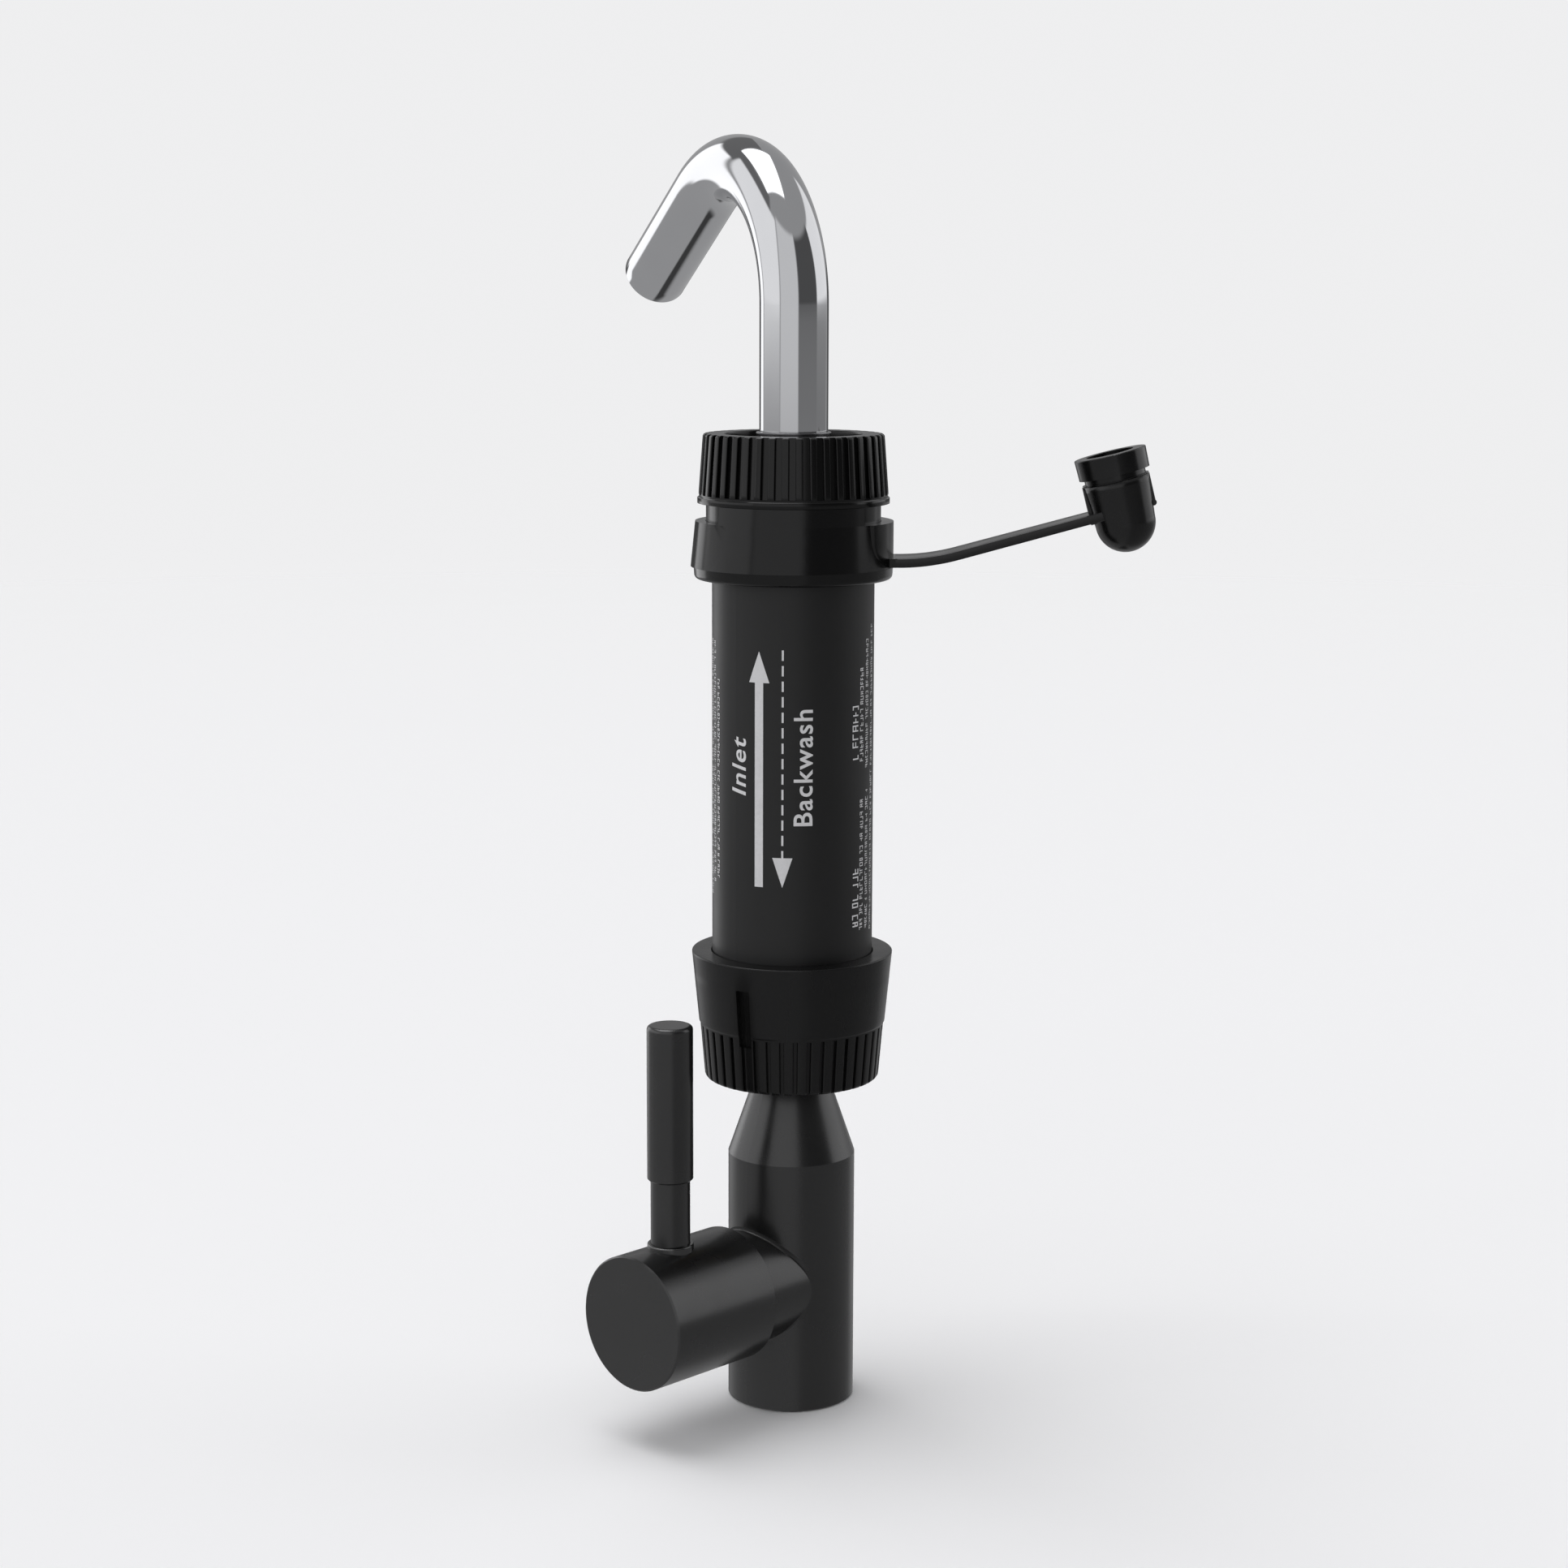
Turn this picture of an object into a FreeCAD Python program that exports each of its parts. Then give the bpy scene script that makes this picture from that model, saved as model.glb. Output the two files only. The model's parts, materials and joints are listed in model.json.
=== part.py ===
"""Bench water tap with a reversible hollow-fibre filter cartridge, in millimetres.

The main axis is Z and the underside of the valve body is z = 0.  The quarter-turn
valve lies along +X, the gooseneck spout leans towards SPOUT_AZIMUTH and the tethered
dust cap hangs out towards TETHER_AZIMUTH.
"""

import FreeCAD, Part
import math
import os

V = FreeCAD.Vector
ORIGIN = V(0, 0, 0)
X_AXIS = V(1, 0, 0)
Y_AXIS = V(0, 1, 0)
Z_AXIS = V(0, 0, 1)

# ---- driving dimensions: directions about the main axis, degrees
SPOUT_AZIMUTH = 249.7
TETHER_AZIMUTH = 132.4
SLOT_AZIMUTH = 13.9

# fits, radial
RUNNING = 0.1
SNUG = 0.05

# valve body
BODY_R = 12.05
SHOULDER_Z = 48.3
CONE_SLOPE = 0.345
NECK_R = 6.4
NECK_TOP = 72.0
BOSS_R = 10.75
BOSS_FILLET = 0.5
BOSS_END = 16.6
WATERWAY_R = 3.5
INLET_R = 5.0
INLET_DEPTH = 12.0
BASE_SEAL_R = 9.2
BASE_SEAL_SECTION = 0.8

# quarter-turn valve, lengths along X from the main axis
VALVE_Z = 23.95
CHAMBER_R = 7.5
SEAT_X = -5.0
SEAT_HOLE_R = 3.0
SEAT_HOLE_END = -9.0
SEAT_SEAL_T = 1.4
DISC_R = 6.1
DISC_T = 2.2
DISC_PORT_R = 1.6
DISC_PORT_OFFSET = 3.4
DOG_REACH = (4.9, 5.9)
DOG_HALF_W = 1.1
DOG_DEPTH = 1.2
PASSAGE_R = 2.2
SPINDLE_R = 3.0
SPINDLE_FLANGE_T = 2.3
SPINDLE_END = 33.0
SPINDLE_GROOVE_R = 1.9
SPINDLE_GROOVE_W = 1.2
SPINDLE_SEAL_R = 2.45
SPINDLE_SEAL_SECTION = 0.54
SPINDLE_SEAL_PLACES = (9.0, 12.0)
HEADWORK_FACE = 16.6
HEADWORK_END = 19.6
HEX_ACROSS_FLATS = 15.0
HEADWORK_SEAL_X = 15.0
CAGE_END = 6.5
CAGE_WINDOW_W = 5.0
CAGE_WINDOW = (3.4, 6.3)
CLIP_X = 19.75
CLIP_T = 0.7
CLIP_R = 5.0
CLIP_GROOVE_R = 2.5

# handle
HUB_R = 12.63
HUB_START = 16.9
HUB_END = 42.25
HUB_CAVITY_R = 9.7
HUB_CAVITY_END = 24.0
LEVER_X = 32.2
LEVER_FOOT_TOP = 37.2
LEVER_FOOT_R = 4.3
STEM_R = 3.65
STEM_TOP = 49.3
GRIP_R = 4.25
GRIP_TOP = 78.45
GRIP_TOP_FILLET = 0.8
STUD_R = 2.5
STUD_REACH = 12.5
SET_SCREW_X = 28.0
SET_SCREW_R = 2.0
SET_SCREW_SOCKET_R = 1.0

# filter cartridge
TUBE_R = 15.1
TUBE_BORE_R = 13.6
TUBE_LOW = 80.0
TUBE_TOP = 169.4
THREAD_R = 15.1
THREAD_ROOT_R = 14.3
THREAD_PITCH = 2.5
CAP_SPIGOT_R = 13.5
SEAL_GROOVE_R = 12.4
SEAL_SECTION = 0.59
SEAL_GROOVE_W = 1.7
CAP_SEAL_R = 13.0
INLET_SEAL_LOW = 82.5
OUTLET_SEAL_LOW = 165.4
INLET_CAP_LOW = 73.4
INLET_CAP_TOP = 88.0
FUNNEL_R = 11.2
FUNNEL_LOW = 84.6
FUNNEL_TOP = 86.0
SCREEN_R = 12.5
SCREEN_LOW = 87.2
SCREEN_T = 0.6
SCREEN_HOLE_R = 0.8
SCREEN_ROWS = ((3.0, 6), (6.0, 12), (9.0, 18))
FIBRE_R = 0.75
FIBRE_TURN_Z = 104.0
FIBRE_SPACING = 3.0
POTTING_LOW = 153.0
POTTING_TOP = 163.0

# lower union
LOWER_NUT_BOTTOM = 63.15
LOWER_NUT_TOP = 87.65
LOWER_NUT_SHOULDER = 66.2
LOWER_NUT_BORE_R = 9.6
LOWER_NUT_RIM_R = 18.95
LOWER_RIB_TOP = 73.9
LOWER_RIB_LOW_R = 16.45
LOWER_RIB_TOP_R = 17.4
POINTER_SLOT_W = 2.6
POINTER_SLOT_LOW = 72.0
POINTER_SLOT_TOP = 83.0
POINTER_SLOT_LOW_R = 16.3
POINTER_SLOT_TOP_R = 17.3
UNION_FLANGE_R = 13.2
UNION_FLANGE_LOW = 67.4
UNION_FLANGE_TOP = 70.2
NIPPLE_LOW = 64.9
NIPPLE_HUB_R = 8.9
NIPPLE_SEAL_R = 5.5
NIPPLE_SEAL_PLACES = (76.3, 80.3)
SPIGOT_R = 6.0
SPIGOT_LOW = 73.2
SPIGOT_TOP = 84.0
SPIGOT_GROOVE_DEPTH = 1.1
SPIGOT_GROOVE_W = 1.6
WASHER_R = 14.9
LOWER_WASHER_BORE_R = 9.4
UPPER_WASHER_BORE_R = 13.0

# ribs round both nuts: grooves' width, depth and the direction of the first one
RIB_COUNT = 42
RIB_GROOVE_DEPTH = 0.75
LOWER_GROOVE_W = 0.72
LOWER_GROOVE_AZIMUTH = 3.14
UPPER_GROOVE_W = 1.25
UPPER_GROOVE_AZIMUTH = 0.25

# upper union and tether collar
NECK_SLEEVE_R = 16.2
NECK_SLEEVE_LOW = 161.6
NECK_SLEEVE_TOP = 172.0
OUTLET_CAP_TOP = 178.2
COLLAR_LOW = 158.0
COLLAR_SEAM = 160.3
COLLAR_NOTCH_Z = 168.7
COLLAR_TOP = 171.95
NOTCH_HALF_ANGLE = 42.5
SKIRT_LOW_R = 18.7
SKIRT_LOW_SHIFT = 0.35
SKIRT_TOP_R = 18.05
SKIRT_TOP_SHIFT = 0.15
COLLAR_TOP_R = 17.85
UPPER_NUT_LOW = 172.0
UPPER_NUT_SHOULDER = 181.5
UPPER_NUT_TOP = 184.75
UPPER_NUT_MOUTH_R = 12.85
UPPER_NUT_LIP_R = 17.8
UPPER_NUT_LIP_T = 1.05
UPPER_RIB_LOW = 173.7
UPPER_RIB_TOP = 183.8
UPPER_RIB_LOW_R = 17.55
UPPER_RIB_TOP_R = 16.83
OUTLET_SOCKET_LOW = 167.5
OUTLET_SOCKET_R = 11.0
OUTLET_SPIGOT_LOW = 164.0
TAIL_FLANGE_SEAT_Z = 175.6
TAIL_FLANGE_SEAT_R = 7.6

# gooseneck spout
SPOUT_R = 6.35
SPOUT_BORE_R = 5.35
SPOUT_LOW = 177.8
BEND_Z = 208.1
BEND_R = 25.2
BEND_ANGLE = 122.8
SPOUT_END_LENGTH = 29.9
TAIL_R = 5.9
TAIL_LOW = 168.2
TAIL_TOP = 184.0
TAIL_FLANGE_LOW = 175.8
TAIL_FLANGE_R = 7.3
TAIL_SEAL_R = 5.36
TAIL_SEAL_SECTION = 0.56
TAIL_SEAL_PLACES = (170.3, 173.3)
BUSHING_R = 14.4
BUSHING_NECK_R = 10.4
FERRULE_T = 0.6

# tether and dust cap, in the upright plane of the tether
STRAP_T = 1.65
STRAP_ROOT_W = 10.5
STRAP_TIP_W = 8.0
STRAP_ROOT_RHO = 17.0
STRAP_Z = 161.3
STRAP_ARC_START = 19.5
STRAP_ARC_R = 41.3
STRAP_RISE = 15.3
STRAP_ROOT_PIVOT = 25.5
STRAP_TIP_PIVOT = 50.0
KNUCKLE_R = 1.1
PAD_R = 18.55
PAD_INNER_R = 17.2
PAD_HALF_W = 11.0
CAP_TILT = 14.0
CAP_RHO = 61.3
CAP_Z = 168.7
CAP_DOME_R = 5.55
CAP_LENGTH = 13.05
CAP_BORE_R = 4.4
CAP_BORE_FLOOR = 2.0
CAP_GROOVE = (8.2, 9.2)
CAP_GROOVE_R = 5.7
CAP_NECK_R = 6.22
CAP_BEAD_R = 6.58
CAP_RIM_R = 6.7


# ---- shape helpers


def turned(outline):
    """Solid of revolution about Z from a closed outline of (radius, height) points."""
    points = [V(r, 0, z) for r, z in outline]
    wire = Part.makePolygon(points + points[:1])
    return Part.Face(wire).revolve(ORIGIN, Z_AXIS, 360)


def rod(radius, low, high):
    """Upright cylinder between two heights."""
    return Part.makeCylinder(radius, high - low, V(0, 0, low))


def ring(outer, inner, low, high):
    """Upright tube between two heights."""
    return rod(outer, low, high).cut(rod(inner, low - 1, high + 1))


def o_ring(radius, section, height):
    """Rubber ring with a round section."""
    return Part.makeTorus(radius, section, V(0, 0, height))


def block(x, y, z):
    """Box from three (low, high) pairs."""
    low = V(x[0], y[0], z[0])
    return Part.makeBox(x[1] - x[0], y[1] - y[0], z[1] - z[0], low)


def hexagon(corner, low, high):
    """Upright hexagonal bar, given the distance from its axis to a corner."""
    angles = [math.radians(60 * i) for i in range(7)]
    corners = [V(corner * math.cos(a), corner * math.sin(a), low) for a in angles]
    return Part.Face(Part.makePolygon(corners)).extrude(V(0, 0, high - low))


def along_x(shape):
    """Lay a shape made about Z along the valve's axis: its heights become X."""
    laid = shape.copy()
    laid.rotate(ORIGIN, Y_AXIS, 90)
    laid.translate(V(0, 0, VALVE_Z))
    return laid


def turned_to(shape, azimuth):
    """Turn a shape made in the XZ plane about the main axis."""
    placed = shape.copy()
    placed.rotate(ORIGIN, Z_AXIS, azimuth)
    return placed


def edges_at(shape, height, radius=None, slack=0.02):
    """Round edges of a turned shape at a height, and at a radius if given."""
    found = []
    for edge in shape.Edges:
        box = edge.BoundBox
        level = abs(box.ZMin - height) < slack and abs(box.ZMax - height) < slack
        wide = radius is None or abs(box.XMax - radius) < slack
        if level and wide:
            found.append(edge)
    return found


def copies_round_axis(shape, count):
    """Compound of equally spaced copies about Z."""
    step = 360 / count
    return Part.makeCompound([turned_to(shape, i * step) for i in range(count)])


def thread_outline(low, high):
    """Outline points of a coarse thread's crests from low to high."""
    points = []
    flank = 0.8
    crest = 0.6
    z = low
    while z + flank * 2 + crest <= high:
        points += [(THREAD_ROOT_R, z), (THREAD_R, z + flank)]
        points += [(THREAD_R, z + flank + crest), (THREAD_ROOT_R, z + flank * 2 + crest)]
        z += THREAD_PITCH
    return points


def seal_grooves(radius, places):
    """Outline points of ring grooves in a spigot of a given radius."""
    floor_r = radius - SPIGOT_GROOVE_DEPTH
    half = SPIGOT_GROOVE_W / 2
    points = []
    for place in places:
        points += [(radius, place - half), (floor_r, place - half)]
        points += [(floor_r, place + half), (radius, place + half)]
    return points


def rib_grooves(low, high, low_r, high_r, width, azimuth):
    """Cutter for the narrow grooves between the ribs of a tapered nut."""
    reach = 1.5
    points = [
        V(low_r - RIB_GROOVE_DEPTH, -width / 2, low),
        V(low_r + reach, -width / 2, low),
        V(high_r + reach, -width / 2, high),
        V(high_r - RIB_GROOVE_DEPTH, -width / 2, high),
    ]
    face = Part.Face(Part.makePolygon(points + points[:1]))
    groove = turned_to(face.extrude(V(0, width, 0)), azimuth)
    return copies_round_axis(groove, RIB_COUNT)


# ---- valve body and its quarter-turn valve


def saddle_edges(body):
    """Edges where the side boss runs into the barrel."""
    found = []
    for edge in body.Edges:
        box = edge.BoundBox
        inside = box.ZMin > 1 and box.ZMax < SHOULDER_Z - 1 and box.XMax < BODY_R + 0.1
        if inside and box.YLength > 1:
            found.append(edge)
    return found


def valve_body():
    """Painted brass body: upright barrel, conical shoulder, neck and side boss."""
    cone_top = SHOULDER_Z + (BODY_R - NECK_R) / CONE_SLOPE
    edge = 0.25
    outside = turned(
        [
            (0, 0),
            (BODY_R - edge, 0),
            (BODY_R, edge),
            (BODY_R, SHOULDER_Z),
            (NECK_R, cone_top),
            (NECK_R, NECK_TOP),
            (0, NECK_TOP),
        ]
    )
    body = outside.fuse(along_x(rod(BOSS_R, 0, BOSS_END)))
    body = body.makeFillet(BOSS_FILLET, saddle_edges(body))
    body = body.cut(rod(INLET_R, -1, INLET_DEPTH))
    passage_foot = V(-1.5, 0, INLET_DEPTH - 1.5)
    passage_head = V(-6.8, 0, VALVE_Z - 1)
    passage = passage_head - passage_foot
    body = body.cut(Part.makeCylinder(PASSAGE_R, passage.Length, passage_foot, passage))
    body = body.cut(along_x(rod(SEAT_HOLE_R, SEAT_HOLE_END, SEAT_X + 1)))
    body = body.cut(along_x(rod(CHAMBER_R, SEAT_X, BOSS_END + 1)))
    body = body.cut(rod(WATERWAY_R, VALVE_Z + 6, NECK_TOP + 1))
    groove = ring(BASE_SEAL_R + 1, BASE_SEAL_R - 1, -1, 2 * BASE_SEAL_SECTION + 0.1)
    return body.cut(groove)


def base_seal():
    """Rubber ring in the groove under the body."""
    return o_ring(BASE_SEAL_R, BASE_SEAL_SECTION, BASE_SEAL_SECTION + 0.1)


def seat_seal():
    """Lip washer between the valve seat and the fixed disc."""
    return along_x(ring(CHAMBER_R - 0.3, SEAT_HOLE_R, SEAT_X, SEAT_X + SEAT_SEAL_T))


FIXED_DISC_X = SEAT_X + SEAT_SEAL_T
MOVING_DISC_X = FIXED_DISC_X + DISC_T + SNUG
SPINDLE_X = MOVING_DISC_X + DISC_T + SNUG


def disc_with_ports(start, port_direction):
    """Ceramic disc with two round ports, on a line along the given local axis."""
    disc = rod(DISC_R, start, start + DISC_T)
    for side in (-1, 1):
        centre = port_direction * (side * DISC_PORT_OFFSET) + V(0, 0, start - 1)
        disc = disc.cut(Part.makeCylinder(DISC_PORT_R, DISC_T + 2, centre))
    return disc


def fixed_disc():
    """Ceramic disc that stays still; its ports are above and below the valve's axis."""
    return along_x(disc_with_ports(FIXED_DISC_X, X_AXIS))


def drive_dogs(grow):
    """The two dogs by which the spindle turns the moving disc, in local axes."""
    dogs = []
    near, far = DOG_REACH
    for low, high in ((-far, -near), (near, far)):
        x = (low - grow, high + grow)
        y = (-DOG_HALF_W - grow, DOG_HALF_W + grow)
        dogs.append(block(x, y, (SPINDLE_X - DOG_DEPTH - grow, SPINDLE_X + 0.5)))
    return Part.makeCompound(dogs).common(rod(DISC_R, SPINDLE_X - 3, SPINDLE_X + 3))


def moving_disc():
    """Ceramic disc that the spindle turns; its ports are level, so the rest is shut."""
    disc = disc_with_ports(MOVING_DISC_X, Y_AXIS)
    return along_x(disc.cut(drive_dogs(SNUG)))


def headwork_body():
    """Brass headwork: disc cage, threaded barrel, seal groove and hexagon flange."""
    thread_start = CAGE_END + 0.5
    groove = (HEADWORK_SEAL_X - 0.8, HEADWORK_SEAL_X + 0.8)
    barrel_r = CHAMBER_R - RUNNING
    shell = turned(
        [
            (DISC_R + RUNNING, FIXED_DISC_X),
            (CHAMBER_R - 0.6, FIXED_DISC_X),
            (CHAMBER_R - 0.6, thread_start),
            (barrel_r, thread_start),
            (barrel_r, groove[0]),
            (CHAMBER_R - 1.3, groove[0]),
            (CHAMBER_R - 1.3, groove[1]),
            (barrel_r, groove[1]),
            (barrel_r, HEADWORK_FACE),
            (SPINDLE_R + SNUG, HEADWORK_FACE),
            (SPINDLE_R + SNUG, CAGE_END),
            (DISC_R + RUNNING, CAGE_END),
        ]
    )
    corner = HEX_ACROSS_FLATS / math.sqrt(3)
    nut_face = hexagon(corner, HEADWORK_FACE, HEADWORK_END)
    nut_face = nut_face.cut(rod(SPINDLE_R + SNUG, HEADWORK_FACE - 1, HEADWORK_END + 1))
    through = (-CHAMBER_R - 1, CHAMBER_R + 1)
    window = block(through, (-CAGE_WINDOW_W / 2, CAGE_WINDOW_W / 2), CAGE_WINDOW)
    return along_x(shell.fuse(nut_face).cut(window).removeSplitter())


def headwork_seal():
    """Rubber ring between the headwork and the boss."""
    return along_x(o_ring(CHAMBER_R - 0.71, SEAL_SECTION, HEADWORK_SEAL_X))


def spindle():
    """Brass spindle: driving flange with two dogs, sealed shaft and clip groove."""
    flange = rod(DISC_R, SPINDLE_X, SPINDLE_X + SPINDLE_FLANGE_T)
    for side in (-1, 1):
        centre = V(0, side * DISC_PORT_OFFSET, SPINDLE_X - 1)
        flange = flange.cut(Part.makeCylinder(DISC_PORT_R, SPINDLE_FLANGE_T + 2, centre))
    shaft = rod(SPINDLE_R, SPINDLE_X + 1, SPINDLE_END)
    shaft = shaft.makeChamfer(0.4, edges_at(shaft, SPINDLE_END))
    body = flange.fuse([shaft, drive_dogs(0)])
    half = SPINDLE_GROOVE_W / 2
    for place in SPINDLE_SEAL_PLACES:
        body = body.cut(ring(SPINDLE_R + 1, SPINDLE_GROOVE_R, place - half, place + half))
    body = body.cut(ring(SPINDLE_R + 1, CLIP_GROOVE_R, CLIP_X, CLIP_X + CLIP_T))
    return along_x(body.removeSplitter())


def spindle_seals():
    """The two rubber rings on the spindle."""
    rings = [o_ring(SPINDLE_SEAL_R, SPINDLE_SEAL_SECTION, x) for x in SPINDLE_SEAL_PLACES]
    return along_x(Part.makeCompound(rings))


def spindle_clip():
    """Split spring clip that keeps the spindle in the headwork."""
    clip = ring(CLIP_R, CLIP_GROOVE_R, CLIP_X, CLIP_X + CLIP_T)
    mouth = block((0, CLIP_R + 1), (-1.5, 1.5), (CLIP_X - 1, CLIP_X + CLIP_T + 1))
    return along_x(clip.cut(mouth))


# ---- handle


def hub_cylinder():
    """Outer surface of the hub, for shaping what stands on it."""
    return along_x(rod(HUB_R, HUB_START, HUB_END))


def handle_hub():
    """Round hub that turns the spindle and carries the lever."""
    edge = 0.3
    hub = rod(HUB_R, HUB_START, HUB_END)
    hub = hub.makeChamfer(edge, hub.Edges)
    hub = hub.cut(rod(HUB_CAVITY_R, HUB_START - 1, HUB_CAVITY_END))
    hub = along_x(hub.cut(rod(SPINDLE_R, HUB_CAVITY_END - 1, SPINDLE_END + 0.5)))
    stud_hole = Part.makeCylinder(STUD_R, HUB_R, V(LEVER_X, 0, VALVE_Z + 5))
    screw_hole = Part.makeCylinder(SET_SCREW_R, HUB_R, V(SET_SCREW_X, 0, VALVE_Z - HUB_R - 1))
    return hub.cut(stud_hole).cut(screw_hole)


def hub_set_screw():
    """Socket screw that holds the hub on the spindle, from below."""
    low = VALVE_Z - HUB_R + 2
    high = VALVE_Z - SPINDLE_R
    screw = rod(SET_SCREW_R, low, high)
    socket = hexagon(SET_SCREW_SOCKET_R, low, low + 2)
    screw = screw.cut(socket)
    screw.translate(V(SET_SCREW_X, 0, 0))
    return screw


def lever_foot():
    """Thin bright washer round the stem's foot, saddled on the hub."""
    foot = ring(LEVER_FOOT_R, STEM_R + SNUG, VALVE_Z + HUB_R - 2, LEVER_FOOT_TOP)
    foot = foot.makeFillet(0.25, edges_at(foot, LEVER_FOOT_TOP, LEVER_FOOT_R))
    foot.translate(V(LEVER_X, 0, 0))
    return foot.cut(hub_cylinder())


def lever_stem():
    """Round stem with a stud at each end: one in the hub, one in the grip."""
    stem = rod(STEM_R, VALVE_Z + HUB_R - 2, STEM_TOP)
    stem.translate(V(LEVER_X, 0, 0))
    stem = stem.cut(hub_cylinder())
    stud = rod(STUD_R, VALVE_Z + 5, STEM_TOP + STUD_REACH)
    stud.translate(V(LEVER_X, 0, 0))
    return stem.fuse(stud).removeSplitter()


def lever_grip():
    """Grip sleeve with a rounded top."""
    grip = rod(GRIP_R, STEM_TOP, GRIP_TOP)
    grip = grip.makeFillet(GRIP_TOP_FILLET, edges_at(grip, GRIP_TOP))
    grip = grip.makeChamfer(0.3, edges_at(grip, STEM_TOP))
    grip = grip.cut(rod(STUD_R, STEM_TOP - 1, STEM_TOP + STUD_REACH + 0.5))
    grip.translate(V(LEVER_X, 0, 0))
    return grip


# ---- lower union


def union_nipple():
    """Flanged nipple screwed on the neck; its spigot plugs into the cartridge."""
    outline = [
        (NECK_R, NIPPLE_LOW),
        (NIPPLE_HUB_R, NIPPLE_LOW),
        (NIPPLE_HUB_R, UNION_FLANGE_LOW),
        (UNION_FLANGE_R, UNION_FLANGE_LOW),
        (UNION_FLANGE_R, UNION_FLANGE_TOP),
        (NIPPLE_HUB_R, UNION_FLANGE_TOP),
        (NIPPLE_HUB_R, SPIGOT_LOW),
        (SPIGOT_R, SPIGOT_LOW),
    ]
    outline += seal_grooves(SPIGOT_R, NIPPLE_SEAL_PLACES)
    outline += [
        (SPIGOT_R, SPIGOT_TOP - 0.6),
        (SPIGOT_R - 0.6, SPIGOT_TOP),
        (WATERWAY_R, SPIGOT_TOP),
        (WATERWAY_R, NECK_TOP),
        (NECK_R, NECK_TOP),
    ]
    return turned(outline)


def nipple_seals():
    """The two rubber rings on the nipple's spigot."""
    rings = [o_ring(NIPPLE_SEAL_R, SEAL_SECTION, z) for z in NIPPLE_SEAL_PLACES]
    return Part.makeCompound(rings)


def lower_washer():
    """Slip washer between the nut's shoulder and the nipple's flange."""
    low = LOWER_NUT_SHOULDER + SNUG
    return ring(WASHER_R, LOWER_WASHER_BORE_R, low, UNION_FLANGE_LOW - RUNNING)


def lower_nut():
    """Union nut: ribbed foot, smooth flared sleeve, one pointer slot down its side."""
    mouth_r = TUBE_R + 0.7
    bore_r = THREAD_R + RUNNING
    thread_end = 80.2
    nut = turned(
        [
            (LOWER_NUT_BORE_R, LOWER_NUT_BOTTOM),
            (LOWER_RIB_LOW_R, LOWER_NUT_BOTTOM),
            (LOWER_RIB_TOP_R, LOWER_RIB_TOP),
            (LOWER_RIB_TOP_R + 0.2, LOWER_RIB_TOP + 0.3),
            (LOWER_NUT_RIM_R, LOWER_NUT_TOP),
            (mouth_r, LOWER_NUT_TOP),
            (mouth_r, thread_end + 0.6),
            (bore_r, thread_end),
            (bore_r, LOWER_NUT_SHOULDER),
            (LOWER_NUT_BORE_R, LOWER_NUT_SHOULDER),
        ]
    )
    nut = nut.makeFillet(0.9, edges_at(nut, LOWER_NUT_BOTTOM, LOWER_RIB_LOW_R))
    nut = nut.makeFillet(0.25, edges_at(nut, LOWER_NUT_TOP))
    grooves = rib_grooves(
        LOWER_NUT_BOTTOM - 1,
        LOWER_RIB_TOP - 0.3,
        LOWER_RIB_LOW_R,
        LOWER_RIB_TOP_R,
        LOWER_GROOVE_W,
        LOWER_GROOVE_AZIMUTH,
    )
    return nut.cut(grooves).cut(turned_to(pointer_slot(), SLOT_AZIMUTH))


def pointer_slot():
    """Cutter for the shallow slot down the nut's sleeve, along +X."""
    half = POINTER_SLOT_W / 2
    outline = [
        V(POINTER_SLOT_LOW_R, -half, POINTER_SLOT_LOW),
        V(POINTER_SLOT_LOW_R + 4, -half, POINTER_SLOT_LOW),
        V(POINTER_SLOT_TOP_R + 4, -half, POINTER_SLOT_TOP),
        V(POINTER_SLOT_TOP_R, -half, POINTER_SLOT_TOP),
    ]
    face = Part.Face(Part.makePolygon(outline + outline[:1]))
    return face.extrude(V(0, POINTER_SLOT_W, 0))


# ---- filter cartridge


def inlet_end_cap():
    """Cartridge's lower cap: threaded rim, socket for the nipple and a strainer seat."""
    outline = [(SPIGOT_R + RUNNING, INLET_CAP_LOW), (THREAD_ROOT_R, INLET_CAP_LOW)]
    outline += thread_outline(INLET_CAP_LOW + 0.3, TUBE_LOW)
    outline += [
        (THREAD_ROOT_R, TUBE_LOW),
        (CAP_SPIGOT_R, TUBE_LOW),
        (CAP_SPIGOT_R, INLET_SEAL_LOW),
        (SEAL_GROOVE_R, INLET_SEAL_LOW),
        (SEAL_GROOVE_R, INLET_SEAL_LOW + SEAL_GROOVE_W),
        (CAP_SPIGOT_R, INLET_SEAL_LOW + SEAL_GROOVE_W),
        (CAP_SPIGOT_R, INLET_CAP_TOP),
        (SCREEN_R + RUNNING, INLET_CAP_TOP),
        (SCREEN_R + RUNNING, SCREEN_LOW),
        (FUNNEL_R, SCREEN_LOW),
        (FUNNEL_R, FUNNEL_TOP),
        (SPIGOT_R + RUNNING, FUNNEL_LOW),
    ]
    return turned(outline)


def inlet_cap_seal():
    """Rubber ring between the lower cap and the tube."""
    return o_ring(CAP_SEAL_R, SEAL_SECTION, INLET_SEAL_LOW + SEAL_GROOVE_W / 2)


def inlet_screen():
    """Perforated strainer disc."""
    screen = rod(SCREEN_R, SCREEN_LOW, SCREEN_LOW + SCREEN_T)
    holes = []
    for row, count in SCREEN_ROWS:
        for i in range(count):
            angle = 2 * math.pi * i / count
            centre = V(row * math.cos(angle), row * math.sin(angle), SCREEN_LOW - 1)
            holes.append(Part.makeCylinder(SCREEN_HOLE_R, SCREEN_T + 2, centre))
    return screen.cut(Part.makeCompound(holes))


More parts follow.
